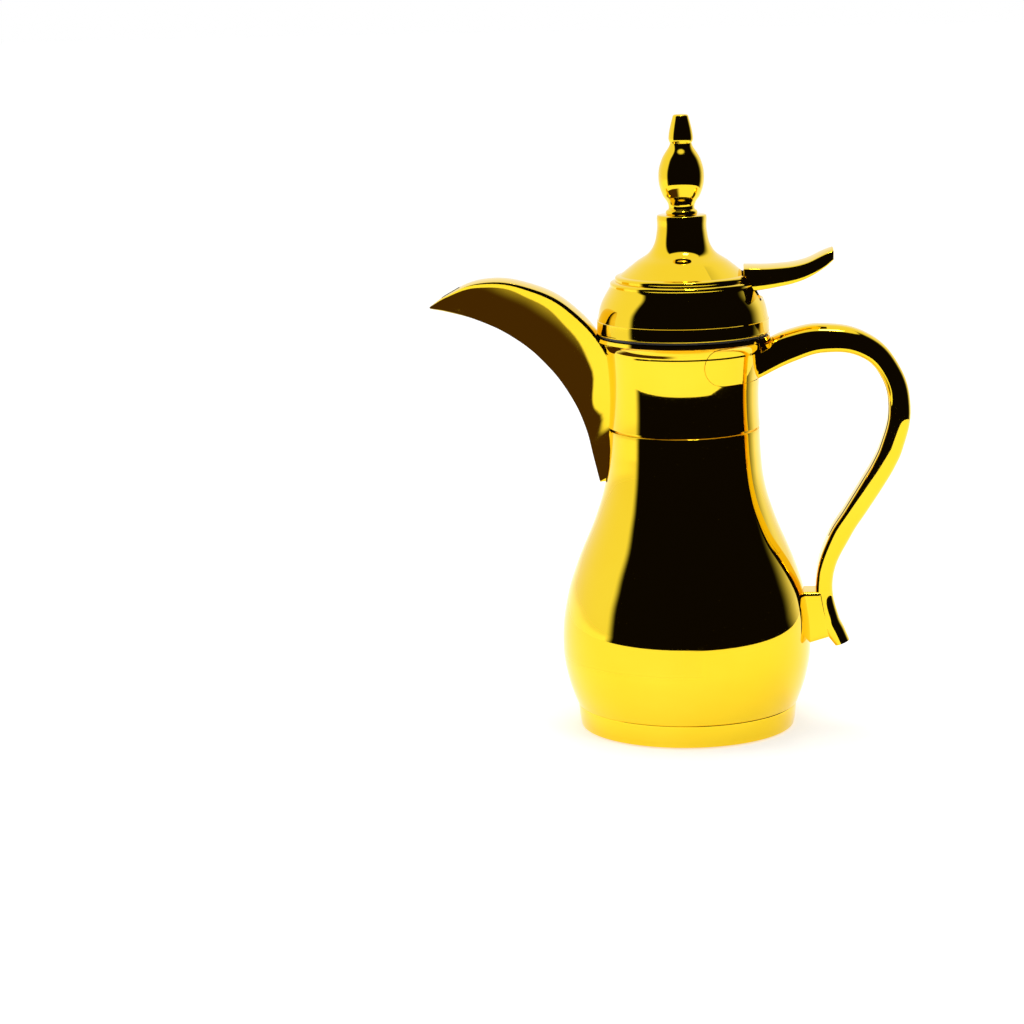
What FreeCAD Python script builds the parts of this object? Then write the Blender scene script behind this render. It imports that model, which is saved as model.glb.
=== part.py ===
import FreeCAD, Part
import math
import os
from types import SimpleNamespace

import Sketcher
from FreeCAD import Placement, Rotation, Vector

# Vacuum-flask dallah coffee pot, in millimetres.
# The origin is the middle of the base on the table, +Z is up, the spout points to -X and the handle to +X.
# A turned outline lists its corners as (radius, height). A corner with four numbers ends an arc, and
# its last two numbers are the point that the arc passes through.

SIZES = {
    # base
    "pad_inset": 5.5,
    "pad_thickness": 2.2,
    "pad_drop": 0.6,
    "foot_radius": 43.5,
    "foot_flare": 0.9,
    "foot_top": 10.0,
    "foot_chamfer": 0.6,
    "floor_thickness": 2.2,
    "base_spigot_height": 6.0,
    "base_spigot_wall": 2.2,
    # body shell, from the foot to the groove under the collar
    "shell_wall": 1.6,
    "shell_step": 0.5,
    "low_belly_swell": 3.5,
    "low_belly_rise": 10.5,
    "belly_swell": 1.9,
    "belly_rise": 13.5,
    "high_belly_inset": 1.95,
    "high_belly_rise": 19.0,
    "shoulder_inset": 4.05,
    "shoulder_rise": 13.5,
    "throat_inset": 8.7,
    "throat_rise": 21.5,
    "mid_throat_inset": 3.55,
    "mid_throat_rise": 12.5,
    "neck_inset": 1.6,
    "neck_rise": 15.5,
    "neck_length": 6.4,
    # collar, from the groove to the rim
    "groove_height": 1.0,
    "waist_inset": 0.45,
    "waist_rise": 11.6,
    "collar_flare": 1.5,
    "collar_rise": 19.5,
    "flare_step": 0.7,
    "flare_rise": 2.9,
    "lip_reach": 2.5,
    "lip_rise": 2.1,
    "lip_thickness": 1.5,
    "collar_wall": 3.45,
    "collar_spigot_depth": 6.0,
    "seat_cone_depth": 7.0,
    "lip_wall": 1.4,
    # handle plate let into the collar
    "plate_thickness": 1.0,
    "plate_reach": 16.0,
    "plate_drop": 3.1,
    "plate_half_height": 7.6,
    "plate_seam": 0.25,
    # glass liner and its cushions
    "liner_gap": 5.2,
    "liner_lift": 3.0,
    "liner_flat_radius": 15.0,
    "liner_turn_inset": 14.3,
    "liner_turn_rise": 7.0,
    "glass_wall": 1.5,
    "vacuum_gap": 3.3,
    "liner_neck_inset": 0.8,
    "liner_neck_rise": 5.5,
    "liner_lip": 3.6,
    "mouth_gasket_height": 2.4,
    # inner neck with its thread
    "inner_neck_wall": 2.0,
    "inner_neck_flange": 5.6,
    "port_sill": 5.0,
    "port_height": 14.0,
    "port_half_width": 5.0,
    "thread_lead": 18.0,
    "thread_arc": 90.0,
    "thread_depth": 1.6,
    "thread_root": 2.4,
    "thread_crest": 1.6,
    "thread_rise": 6.0,
    "thread_play": 0.5,
    # stopper
    "thread_room": 2.0,
    "stopper_gap": 0.6,
    "stopper_wall": 2.5,
    "seal_rise": 1.6,
    "seal_height": 4.0,
    "seal_depth": 1.8,
    "seal_play": 0.3,
    "channel_rise": 3.0,
    "channel_headroom": 3.0,
    "seat_radius": 7.0,
    "seat_rise": 3.4,
    "chamber_wall": 2.0,
    "window_lintel": 5.0,
    "deck_thickness": 4.0,
    "guide_radius": 5.0,
    "guide_height": 12.0,
    "window_sill": 3.0,
    "window_height": 9.0,
    "window_half_width": 6.0,
    "flange_inset": 1.1,
    "flange_lift": 0.3,
    "flange_thickness": 2.7,
    "flange_step": 1.7,
    "dome_spigot_height": 2.0,
    "dome_spigot_wall": 1.9,
    # valve
    "rod_radius": 2.0,
    "rod_play": 0.05,
    "rod_head_radius": 3.2,
    "rod_head_height": 1.8,
    "plug_radius": 10.0,
    "plug_height": 4.8,
    "plug_gap": 0.2,
    "rod_stub": 12.0,
    "lift_collar_radius": 6.6,
    "lift_collar_rise": 6.5,
    "lift_collar_thickness": 2.0,
    "spring_radius": 5.5,
    "spring_wire": 0.9,
    "spring_turns": 6,
    "spring_end_gap": 0.15,
    # lid dome and chimney
    "dome_wall": 1.6,
    "dome_overhang": 0.2,
    "dome_edge_height": 1.2,
    "dome_edge_step": 0.5,
    "skirt_rise": 6.6,
    "skirt_step": 0.4,
    "mid_dome_inset": 1.3,
    "mid_dome_rise": 6.2,
    "bead_inset": 3.8,
    "dome_rise": 7.1,
    "bead_rise": 2.2,
    "bead_step": 2.0,
    "bead_ledge": 0.4,
    "bead_bulge": 0.7,
    "slope_rise": 5.1,
    "flare_mid_run": 6.1,
    "flare_mid_rise": 4.7,
    "flare_top_run": 2.5,
    "chimney_radius": 9.9,
    "flare_top_rise": 7.9,
    "chimney_height": 6.0,
    "chimney_wall": 1.6,
    "chimney_roof": 2.2,
    "chimney_chamfer": 0.7,
    "lever_slot_reach": 3.9,
    "lever_slot_depth": 5.3,
    "lever_slot_play": 0.5,
    # finial and its screw
    "finial_ring_radius": 6.3,
    "finial_ring_height": 2.0,
    "finial_neck_radius": 5.2,
    "finial_neck_length": 2.4,
    "egg_radius": 9.1,
    "egg_rise": 6.8,
    "egg_low_radius": 7.6,
    "egg_low_rise": 3.6,
    "egg_high_radius": 7.8,
    "egg_high_rise": 7.0,
    "egg_top_radius": 4.3,
    "egg_top_rise": 5.8,
    "tip_bead_radius": 4.9,
    "tip_bead_rise": 2.0,
    "tip_neck": 0.8,
    "tip_top_radius": 3.2,
    "tip_round": 1.4,
    "tip_rise": 9.2,
    "finial_screw_radius": 2.0,
    "finial_screw_depth": 13.0,
    "finial_screw_head_radius": 3.6,
    "finial_screw_head": 2.8,
    # thumb lever, its pivot and its bracket
    "pivot_inset": 9.4,
    "pivot_rise": 6.7,
    "pin_radius": 1.5,
    "pin_play": 0.05,
    "hub_radius": 3.4,
    "arm_half_width": 5.0,
    "fork_half_gap": 2.7,
    "fork_reach": 5.5,
    "fork_drop": 1.4,
    "fork_depth": 3.2,
    "fork_gap": 0.4,
    "lever_heel": 2.0,
    "lever_heel_rise": 1.8,
    "lever_half_width": 9.0,
    "lever_crown": 2.6,
    "bracket_play": 0.3,
    "ear_thickness": 2.2,
    "ear_radius": 2.8,
    "lever_base_near": 1.5,
    "lever_base_length": 4.5,
    "lever_base_thickness": 2.5,
    "lever_screw_radius": 1.2,
    "lever_screw_head_radius": 2.1,
    "lever_screw_head": 1.4,
    "lever_screw_depth": 1.8,
    "lever_screw_spread": 2.9,
    # handle and its lower bracket
    "handle_half_width": 6.75,
    "handle_round": 2.4,
    "strip_half_width": 3.6,
    "strip_share": 0.24,
    "strip_proud": 0.25,
    "bracket_half_width": 7.0,
    "bracket_lift": 0.2,
    "bracket_bottom_inset": 0.3,
    "bracket_tip_reach": 7.7,
    "bracket_tip_rise": 2.4,
    "bracket_height": 21.0,
    "bracket_top_reach": 4.5,
    "bracket_round": 1.5,
    # screws of the handle
    "handle_screw_radius": 2.0,
    "handle_screw_head_radius": 3.2,
    "handle_screw_head": 2.0,
    "upper_screw_drop": 1.2,
    "upper_screw_bite": 7.5,
    "lower_screw_rise": 10.8,
    "lower_screw_bite": 6.7,
    "lower_screw_inset": 1.4,
    # spout
    "spout_wall": 1.6,
    "spout_crown": 0.26,
    "spout_flank_width": 0.8,
    "spout_flank_rise": 0.35,
    "spout_mouth_rise": 14.0,
    "spout_mouth_reach": 57.5,
    "spout_mouth_length": 8.5,
    "spout_mouth_half_width": 2.2,
    # gap between the turning lid and what stands beside it
    "lid_play": 0.5,
}

# Spout sections from the tail on the body to the tip: keel out and up, top out and up, half width.
# Out is from the collar's side, up from the rim.
SPOUT_SECTIONS = [
    (2.7, -59.6, -2.5, -58.6, 1.4),
    (5.1, -49.5, -3.0, -45.5, 3.8),
    (8.2, -37.0, -3.5, -27.0, 5.8),
    (14.1, -24.0, -1.5, -6.5, 7.2),
    (24.0, -10.8, 11.7, 11.6, 8.0),
    (36.0, -0.6, 29.1, 21.2, 8.2),
    (50.5, 6.8, 48.7, 23.3, 7.2),
    (63.1, 10.5, 62.7, 17.6, 4.2),
    (69.7, 11.8, 69.8, 12.6, 0.7),
]

# Handle corners from the collar to the foot: outer edge out and up, inner edge out and up.
# The upper corners are measured from the collar's side and the rim, the lower ones from the belly.
HANDLE_CORNERS = [
    (-1.5, -3.8, -2.5, -18.0),
    (11.5, 1.6, 12.5, -10.9),
    (24.0, 3.5, 25.0, -7.5),
    (42.3, -0.8, 40.1, -10.0),
    (53.7, -12.2, 47.1, -17.4),
    (59.0, -30.0, 50.3, -30.0),
    (55.9, -47.4, 47.1, -45.4),
    (52.7, -54.8, 43.8, -52.8),
    (48.5, -62.0, 39.7, -59.8),
    (23.1, 53.8, 14.1, 55.0),
    (16.5, 43.6, 7.3, 43.8),
    (9.1, 26.0, 2.1, 26.0),
    (11.4, 10.2, 3.6, 10.2),
    (13.6, 5.4, 6.1, 3.8),
    (15.6, 0.6, 9.7, -1.2),
]
THREAD_STARTS = 3
STOPPER_WINDOWS = 4
BEAD_RINGS = 2
# How far the middle of a quarter round lies from its corner, and what a slanted wall's offset has each way.
ROUND_SHARE = 1 - math.sqrt(0.5)
SLANT_SHARE = math.sqrt(0.5)
# Shares of a height, a depth or a wall at which a curve passes.
RING_SHARE = 0.6
THREAD_ROOT_SHARE = 0.4
SPOUT_EDGE_SHARE = 0.5
SPOUT_FLANK_SHARE = 0.4
# Numbers of the spout's hollow sections, the handle's corners near the collar, and its corners with a strip.
HOLLOW_SECTIONS = range(2, 8)
UPPER_HANDLE_CORNERS = range(9)
STRIP_CORNERS = range(2, 11)

# Lever sections from its root to its tip: out, underside up and side edge up from the pivot, share of the
# half width.
LEVER_SECTIONS = [
    (4.7, -1.9, 6.3, 1.0),
    (16.5, -0.3, 6.3, 1.0),
    (28.5, 2.7, 7.9, 0.98),
    (37.0, 7.5, 11.7, 0.92),
    (40.3, 10.1, 12.9, 0.8),
]

for number, row in enumerate(SPOUT_SECTIONS):
    for part_name, length in zip(("keel_out", "keel_up", "top_out", "top_up", "half_width"), row):
        SIZES[f"spout_{part_name}_{number}"] = length
for number, row in enumerate(HANDLE_CORNERS):
    for part_name, length in zip(("outer_out", "outer_up", "inner_out", "inner_up"), row):
        SIZES[f"handle_{part_name}_{number}"] = length
for number, row in enumerate(LEVER_SECTIONS):
    for part_name, length in zip(("out", "bottom_up", "edge_up", "width_share"), row):
        SIZES[f"lever_{part_name}_{number}"] = length


class Size:
    """A length with the sheet formula that it comes from."""

    def __init__(self, value, text):
        self.value = value
        self.text = text

    def __add__(self, other):
        other = as_size(other)
        return Size(self.value + other.value, f"({self.text} + {other.text})")

    def __sub__(self, other):
        other = as_size(other)
        return Size(self.value - other.value, f"({self.text} - {other.text})")

    def __mul__(self, other):
        other = as_size(other)
        return Size(self.value * other.value, f"({self.text} * {other.text})")

    def __truediv__(self, other):
        other = as_size(other)
        return Size(self.value / other.value, f"({self.text} / {other.text})")

    def __neg__(self):
        return Size(-self.value, f"(0 - {self.text})")

    def __radd__(self, other):
        return as_size(other) + self

    def __rsub__(self, other):
        return as_size(other) - self

    def __rmul__(self, other):
        return as_size(other) * self


def as_size(length):
    """Turns a plain number into a Size."""
    if isinstance(length, Size):
        return length
    return Size(float(length), repr(float(length)))


def length_of(across, up):
    """The length of the slanted side over two square ones."""
    text = f"sqrt({across.text} ^ 2 + {up.text} ^ 2)"
    return Size(math.hypot(across.value, up.value), text)


doc = FreeCAD.newDocument("Dallah")
sheet = doc.addObject("Spreadsheet::Sheet", "Sizes")
for row, (name, length) in enumerate(SIZES.items(), start=1):
    sheet.set(f"A{row}", name)
    sheet.set(f"B{row}", str(length))
    sheet.setAlias(f"B{row}", name)
doc.recompute()
d = SimpleNamespace(**{name: Size(float(length), f"Sizes.{name}") for name, length in SIZES.items()})
ZERO = as_size(0)


def keep(**worked_out):
    """Writes a worked-out size to the sheet under its own name."""
    for name, length in worked_out.items():
        row = len(vars(d)) + 1
        sheet.set(f"A{row}", name)
        sheet.set(f"B{row}", "=" + length.text.replace("Sizes.", ""))
        sheet.setAlias(f"B{row}", name)
        setattr(d, name, Size(length.value, f"Sizes.{name}"))


# Worked out for the foot and pad.
keep(pad_radius=d.foot_radius - d.pad_inset)
keep(foot_top_radius=d.foot_radius + d.foot_flare)
# Worked out for the body shell.
keep(shell_foot_radius=d.foot_top_radius + d.shell_step)
keep(low_belly_radius=d.shell_foot_radius + d.low_belly_swell)
keep(low_belly_height=d.foot_top + d.low_belly_rise)
keep(belly_radius=d.low_belly_radius + d.belly_swell)
keep(belly_height=d.low_belly_height + d.belly_rise)
keep(high_belly_radius=d.belly_radius - d.high_belly_inset)
keep(high_belly_height=d.belly_height + d.high_belly_rise)
keep(shoulder_radius=d.high_belly_radius - d.shoulder_inset)
keep(shoulder_height=d.high_belly_height + d.shoulder_rise)
keep(throat_radius=d.shoulder_radius - d.throat_inset)
keep(throat_height=d.shoulder_height + d.throat_rise)
keep(mid_throat_radius=d.throat_radius - d.mid_throat_inset)
keep(mid_throat_height=d.throat_height + d.mid_throat_rise)
keep(neck_radius=d.mid_throat_radius - d.neck_inset)
keep(neck_height=d.mid_throat_height + d.neck_rise)
keep(shell_top=d.neck_height + d.neck_length)
# Worked out for the collar and handle plate.
keep(waist_radius=d.neck_radius - d.waist_inset)
keep(waist_height=d.shell_top + d.waist_rise)
keep(collar_radius=d.waist_radius + d.collar_flare)
keep(collar_height=d.waist_height + d.collar_rise)
keep(flare_radius=d.collar_radius + d.flare_step)
keep(flare_height=d.collar_height + d.flare_rise)
keep(lip_radius=d.flare_radius + d.lip_reach)
keep(lip_height=d.flare_height + d.lip_rise)
keep(rim_height=d.lip_height + d.lip_thickness)
keep(collar_bore=d.neck_radius - d.collar_wall)
keep(seat_cone_height=d.rim_height - d.seat_cone_depth)
keep(plate_height=d.collar_height - d.plate_drop)
# Worked out for the glass liner.
keep(liner_bottom=d.foot_top + d.liner_lift)
keep(liner_turn_radius=d.belly_radius - d.liner_turn_inset)
keep(liner_turn_height=d.liner_bottom + d.liner_turn_rise)
keep(liner_neck_radius=d.collar_bore - d.liner_neck_inset)
keep(liner_neck_height=d.mid_throat_height + d.liner_neck_rise)
keep(liner_top=d.liner_neck_height + d.liner_lip)
# Worked out for the stopper, and the port and thread that face it.
keep(stopper_radius=d.collar_bore - d.inner_neck_wall - d.thread_room)
keep(stopper_bottom=d.liner_top + d.mouth_gasket_height + d.stopper_gap)
keep(seal_bottom=d.stopper_bottom + d.seal_rise)
keep(channel_radius=d.stopper_radius - d.stopper_wall)
keep(seat_height=d.stopper_bottom + d.seat_rise)
keep(channel_bottom=d.seat_height + d.channel_rise)
keep(window_bottom=d.channel_bottom + d.window_sill)
keep(window_top=d.window_bottom + d.window_height)
keep(deck_height=d.window_top + d.window_lintel)
keep(channel_top=d.deck_height + d.channel_headroom)
keep(guide_top=d.deck_height + d.guide_height)
keep(port_bottom=d.channel_bottom + d.port_sill)
keep(port_top=d.port_bottom + d.port_height)
keep(thread_height=d.channel_top + d.thread_rise)
keep(flange_radius=d.lip_radius - d.flange_inset)
# Worked out for the lid dome and chimney.
keep(dome_edge_radius=d.lip_radius + d.dome_overhang)
keep(skirt_radius=d.dome_edge_radius - d.dome_edge_step)
keep(skirt_top=d.rim_height + d.skirt_rise)
keep(dome_radius=d.skirt_radius - d.skirt_step)
keep(mid_dome_radius=d.dome_radius - d.mid_dome_inset)
keep(mid_dome_height=d.skirt_top + d.mid_dome_rise)
keep(bead_radius=d.mid_dome_radius - d.bead_inset)
keep(bead_height=d.mid_dome_height + d.dome_rise)
keep(flare_start_height=d.bead_height + BEAD_RINGS * d.bead_rise + d.slope_rise)
keep(flare_mid_radius=d.chimney_radius + d.flare_top_run)
keep(flare_start_radius=d.flare_mid_radius + d.flare_mid_run)
keep(flare_mid_height=d.flare_start_height + d.flare_mid_rise)
keep(chimney_bottom=d.flare_mid_height + d.flare_top_rise)
keep(chimney_top=d.chimney_bottom + d.chimney_height)
# Worked out for the lever pivot, lever slot and valve rod.
keep(pivot_out=d.bead_radius - d.pivot_inset)
keep(pivot_height=d.mid_dome_height + d.pivot_rise)
keep(lever_slot_start=d.pivot_out + d.lever_slot_reach)
keep(lever_slot_bottom=d.pivot_height - d.lever_slot_depth)
keep(lever_base_in=d.pivot_out + d.lever_base_near)
keep(lever_base_out=d.lever_base_in + d.lever_base_length)
keep(lift_collar_height=d.pivot_height + d.lift_collar_rise)
keep(rod_top=d.lift_collar_height + d.rod_stub)
# Worked out for the finial.
keep(finial_neck_height=d.chimney_top + d.finial_ring_height + d.finial_neck_length)
keep(egg_low_height=d.finial_neck_height + d.egg_low_rise)
keep(egg_height=d.egg_low_height + d.egg_rise)
keep(egg_high_height=d.egg_height + d.egg_high_rise)
keep(egg_top_height=d.egg_high_height + d.egg_top_rise)
keep(tip_bead_bottom=d.egg_top_height + d.tip_neck)
keep(tip_bead_height=d.tip_bead_bottom + d.tip_bead_rise)
keep(finial_top=d.tip_bead_height + d.tip_rise)
# Worked out for the lower bracket, handle screws and spout mouth.
keep(bracket_bottom=d.belly_height + d.bracket_lift)
keep(bracket_bottom_out=d.belly_radius - d.bracket_bottom_inset)
keep(bracket_tip_out=d.belly_radius + d.bracket_tip_reach)
keep(bracket_tip_height=d.bracket_bottom + d.bracket_tip_rise)
keep(bracket_top=d.bracket_bottom + d.bracket_height)
keep(bracket_top_out=d.belly_radius + d.bracket_top_reach)
keep(upper_screw_height=d.plate_height - d.upper_screw_drop)
keep(upper_screw_reach=d.collar_radius + d.upper_screw_bite)
keep(lower_screw_height=d.bracket_bottom + d.lower_screw_rise)
keep(lower_screw_reach=d.belly_radius + d.lower_screw_bite)
keep(spout_mouth_bottom=d.rim_height + d.spout_mouth_rise)
keep(spout_mouth_start=d.collar_radius + d.spout_mouth_reach)
keep(spout_mouth_end=d.spout_mouth_start + d.spout_mouth_length)
doc.recompute()


def row_start(group, number):
    """The place out and up from which a section or corner is measured."""
    if group == "lever":
        return d.pivot_out, d.pivot_height
    if group == "handle" and number not in UPPER_HANDLE_CORNERS:
        return d.belly_radius, d.belly_height
    return d.collar_radius, d.rim_height


def row_size(group, part_name, number):
    """One size of a numbered section or corner."""
    length = getattr(d, f"{group}_{part_name}_{number}")
    start_out, start_up = row_start(group, number)
    if part_name.endswith("out"):
        return start_out + length
    if part_name.endswith("up"):
        return start_up + length
    return length


def bind(thing, path, length):
    """Ties a property or constraint to the sheet."""
    if "Sizes." in length.text:
        thing.setExpression(path, length.text)


def point(across, up):
    """A sketch point at the present sizes."""
    return Vector(across.value, up.value, 0)


def place_point(sketch, geometry, end, across, up):
    """Holds a sketch point at its two sizes."""
    for kind, axis, length in (("DistanceX", -2, across), ("DistanceY", -1, up)):
        if length.text == ZERO.text:
            sketch.addConstraint(Sketcher.Constraint("PointOnObject", geometry, end, axis))
            continue
        number = sketch.addConstraint(Sketcher.Constraint(kind, -1, 1, geometry, end, length.value))
        bind(sketch, f"Constraints[{number}]", length)


def draw(sketch, corners):
    """Draws a closed outline of lines and three-point arcs with every corner tied to the sheet."""
    corners = [tuple(as_size(length) for length in corner) for corner in corners]
    ends = []
    for number, corner in enumerate(corners):
        before = corners[number - 1]
        first, last = point(*before[:2]), point(*corner[:2])
        if len(corner) == 2:
            ends.append((sketch.addGeometry(Part.LineSegment(first, last)), 1, 2))
            continue
        middle = point(*corner[2:])
        turn = (middle - first).cross(last - middle).z
        arc = Part.Arc(first, middle, last) if turn > 0 else Part.Arc(last, middle, first)
        geometry = sketch.addGeometry(arc)
        ends.append((geometry, 1, 2) if turn > 0 else (geometry, 2, 1))
        guide = sketch.addGeometry(Part.Point(middle), True)
        sketch.addConstraint(Sketcher.Constraint("PointOnObject", guide, 1, geometry))
        place_point(sketch, guide, 1, *corner[2:])
    for number, corner in enumerate(corners):
        geometry, _, end = ends[number]
        following, start, _ = ends[(number + 1) % len(ends)]
        sketch.addConstraint(Sketcher.Constraint("Coincident", geometry, end, following, start))
        place_point(sketch, geometry, end, *corner[:2])


def draw_circle(sketch, across, up, radius):
    """Draws a circle tied to the sheet."""
    circle = sketch.addGeometry(Part.Circle(point(across, up), Vector(0, 0, 1), radius.value))
    number = sketch.addConstraint(Sketcher.Constraint("Radius", circle, radius.value))
    bind(sketch, f"Constraints[{number}]", radius)
    place_point(sketch, circle, 3, across, up)


def new_body(label):
    """Starts a piece."""
    body = doc.addObject("PartDesign::Body", label)
    body.Label = label
    return body


def new_sketch(body, role, offset=ZERO):
    """Starts a sketch on one of a piece's own planes, or at a distance from it."""
    sketch = body.newObject("Sketcher::SketchObject", f"{body.Label}_sketch")
    plane = [feature for feature in body.Origin.OriginFeatures if feature.Role == role][0]
    sketch.AttachmentSupport = [(plane, "")]
    sketch.MapMode = "FlatFace"
    sketch.AttachmentOffset = Placement(Vector(0, 0, offset.value), Rotation())
    bind(sketch, "AttachmentOffset.Base.z", offset)
    return sketch


def spin(body, corners, kind="PartDesign::Revolution"):
    """Turns an outline about the pot's axis, to add material or to cut it away."""
    sketch = new_sketch(body, "XZ_Plane")
    draw(sketch, corners)
    feature = body.newObject(kind, f"{body.Label}_turning")
    feature.Profile = sketch
    feature.ReferenceAxis = (sketch, ["V_Axis"])
    feature.Angle = 360
    doc.recompute()
    return feature


def turned(label, corners):
    """A piece that is turned from one outline."""
    body = new_body(label)
    spin(body, corners)
    return body


def slab(body, half_width, corners):
    """Adds a slab, drawn from the side, that is centred on the plane of spout and handle."""
    sketch = new_sketch(body, "XZ_Plane")
    draw(sketch, corners)
    feature = body.newObject("PartDesign::Pad", f"{body.Label}_slab")
    feature.Profile = sketch
    feature.SideType = "Symmetric"
    feature.Length = 2 * half_width.value
    bind(feature, "Length", 2 * half_width)
    doc.recompute()
    return feature


def cut_through(body, role, depth, sketch_work, offset=ZERO, both_sides=False, backwards=False):
    """Cuts a drawn shape out of a piece and makes sure that something was cut."""
    before = body.Shape.Volume
    sketch = new_sketch(body, role, offset)
    sketch_work(sketch)
    feature = body.newObject("PartDesign::Pocket", f"{body.Label}_cut")
    feature.Profile = sketch
    feature.SideType = "Symmetric" if both_sides else "One side"
    feature.Reversed = backwards
    feature.Length = depth.value
    bind(feature, "Length", depth)
    doc.recompute()
    if body.Shape.Volume > before - 1e-6:
        raise RuntimeError(f"a cut in {body.Label} removed nothing")
    return feature


def rod_along(label, axis, radius, length, place):
    """A round bar from a point along one axis."""
    bar = doc.addObject("Part::Cylinder", label)
    bar.Radius = radius.value
    bar.Height = length.value
    bind(bar, "Radius", radius)
    bind(bar, "Height", length)
    bar.Placement = Placement(Vector(*[step.value for step in place]), Rotation(Vector(0, 0, 1), axis))
    for letter, step in zip("xyz", place):
        bind(bar, f"Placement.Base.{letter}", step)
    return bar


def combine(kind, label, pieces):
    """Joins a list of shapes, or cuts the later ones out of the first."""
    result = pieces[0]
    for number, piece in enumerate(pieces[1:], start=1):
        step = doc.addObject(kind, f"{label}_{number}")
        step.Base = result
        step.Tool = piece
        result = step
    result.Label = label
    doc.recompute()
    return result


X_AXIS = Vector(1, 0, 0)
Y_AXIS = Vector(0, 1, 0)
Z_AXIS = Vector(0, 0, 1)


def backwards(corners):
    """The same open line, drawn from its other end."""
    line = [corners[-1][:2]]
    for number in range(len(corners) - 1, 0, -1):
        line.append(corners[number - 1][:2] + corners[number][2:])
    return line


def shell_side(inset):
    """The body shell's side from the foot to its top edge, moved inwards by inset."""
    return [
        (d.shell_foot_radius - inset, d.foot_top),
        (d.belly_radius - inset, d.belly_height, d.low_belly_radius - inset, d.low_belly_height),
        (d.shoulder_radius - inset, d.shoulder_height, d.high_belly_radius - inset, d.high_belly_height),
        (d.throat_radius - inset, d.throat_height),
        (d.neck_radius - inset, d.neck_height, d.mid_throat_radius - inset, d.mid_throat_height),
        (d.neck_radius - inset, d.shell_top),
    ]


def collar_side(inset):
    """The collar's side from the groove to its lip, moved inwards by inset."""
    return [
        (d.neck_radius - inset, collar_bottom),
        (d.collar_radius - inset, d.collar_height, d.waist_radius - inset, d.waist_height),
        (d.lip_radius - inset, d.lip_height, d.flare_radius - inset, d.flare_height),
    ]


collar_bottom = d.shell_top + d.groove_height
shell_bore = d.shell_foot_radius - d.shell_wall
spigot_top = d.foot_top + d.base_spigot_height
floor_top = d.pad_thickness + d.floor_thickness
inner_neck_bottom = d.liner_top + d.mouth_gasket_height
inner_neck_bore = d.collar_bore - d.inner_neck_wall
lid_clear_radius = d.dome_edge_radius + d.lid_play


# Base
def make_base_pad():
    """The rubber disc that the pot stands on."""
    return turned("base_pad", [
        (0, 0),
        (d.pad_radius, 0),
        (d.pad_radius, d.pad_thickness),
        (0, d.pad_thickness),
    ])


def make_base_cap():
    """The foot, which screws into the body shell and carries the liner."""
    inside = shell_bore - d.base_spigot_wall
    return turned("base_cap", [
        (0, d.pad_thickness),
        (d.pad_radius, d.pad_thickness),
        (d.pad_radius, d.pad_drop),
        (d.foot_radius - d.foot_chamfer, d.pad_drop),
        (d.foot_radius, d.pad_drop + d.foot_chamfer),
        (d.foot_top_radius, d.foot_top),
        (shell_bore, d.foot_top),
        (shell_bore, spigot_top),
        (inside, spigot_top),
        (inside, floor_top),
        (0, floor_top),
    ])


# Body shell and what stands inside it
def make_body_shell():
    """The outer wall from the foot to the groove."""
    inside = shell_side(d.shell_wall)
    land = [
        (shell_bore, d.foot_top),
        (shell_bore, spigot_top),
        (d.low_belly_radius - d.shell_wall, d.low_belly_height),
        inside[1][:2],
    ]
    body = turned("body_shell", shell_side(ZERO) + backwards(land + inside[2:]))
    hole = d.handle_screw_radius
    cut_through(body, "YZ_Plane", d.lower_screw_reach, backwards=True,
                sketch_work=lambda sketch: draw_circle(sketch, ZERO, d.lower_screw_height, hole))
    return body


def make_liner_cushion():
    """The rubber block under the glass."""
    return turned("liner_cushion", [
        (0, floor_top),
        (d.liner_flat_radius, floor_top),
        (d.liner_flat_radius, d.liner_bottom),
        (0, d.liner_bottom),
    ])


def liner_outline(inset):
    """The double glass wall as one outline, moved into the glass by inset."""
    glass = 2 * d.glass_wall + d.vacuum_gap
    outer = d.liner_gap + inset
    inner = d.liner_gap + glass - inset
    lip = d.liner_top - glass / 2 + inset / 2
    mouth = d.liner_neck_radius - glass
    bottom = d.liner_bottom + inset
    inner_bottom = d.liner_bottom + glass - inset
    slant = inset * SLANT_SHARE
    inner_slant = (glass - inset) * SLANT_SHARE
    return [
        (0, bottom),
        (d.liner_flat_radius, bottom),
        (d.belly_radius - outer, d.belly_height, d.liner_turn_radius - slant, d.liner_turn_height + slant),
        (d.shoulder_radius - outer, d.shoulder_height, d.high_belly_radius - outer, d.high_belly_height),
        (d.throat_radius - outer, d.throat_height),
        (d.liner_neck_radius - inset, d.liner_neck_height, d.mid_throat_radius - outer, d.mid_throat_height),
        (d.liner_neck_radius - inset, lip),
        (mouth + inset, lip, d.liner_neck_radius - glass / 2, d.liner_top - inset),
        (mouth + inset, d.mid_throat_height),
        (d.throat_radius - inner, d.throat_height),
        (d.shoulder_radius - inner, d.shoulder_height),
        (d.belly_radius - inner, d.belly_height, d.high_belly_radius - inner, d.high_belly_height),
        (d.liner_flat_radius, inner_bottom,
         d.liner_turn_radius - inner_slant, d.liner_turn_height + inner_slant),
        (0, inner_bottom),
    ]


def make_glass_liner():
    """The double-walled glass flask with its sealed vacuum."""
    body = turned("glass_liner", liner_outline(ZERO))
    spin(body, liner_outline(d.glass_wall), "PartDesign::Groove")
    return body


def make_mouth_gasket():
    """The ring that seals the glass lip to the inner neck."""
    mouth = d.liner_neck_radius - 2 * d.glass_wall - d.vacuum_gap
    return turned("mouth_gasket", [
        (mouth, d.liner_top),
        (d.liner_neck_radius, d.liner_top),
        (d.liner_neck_radius, inner_neck_bottom),
        (mouth, inner_neck_bottom),
    ])


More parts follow.
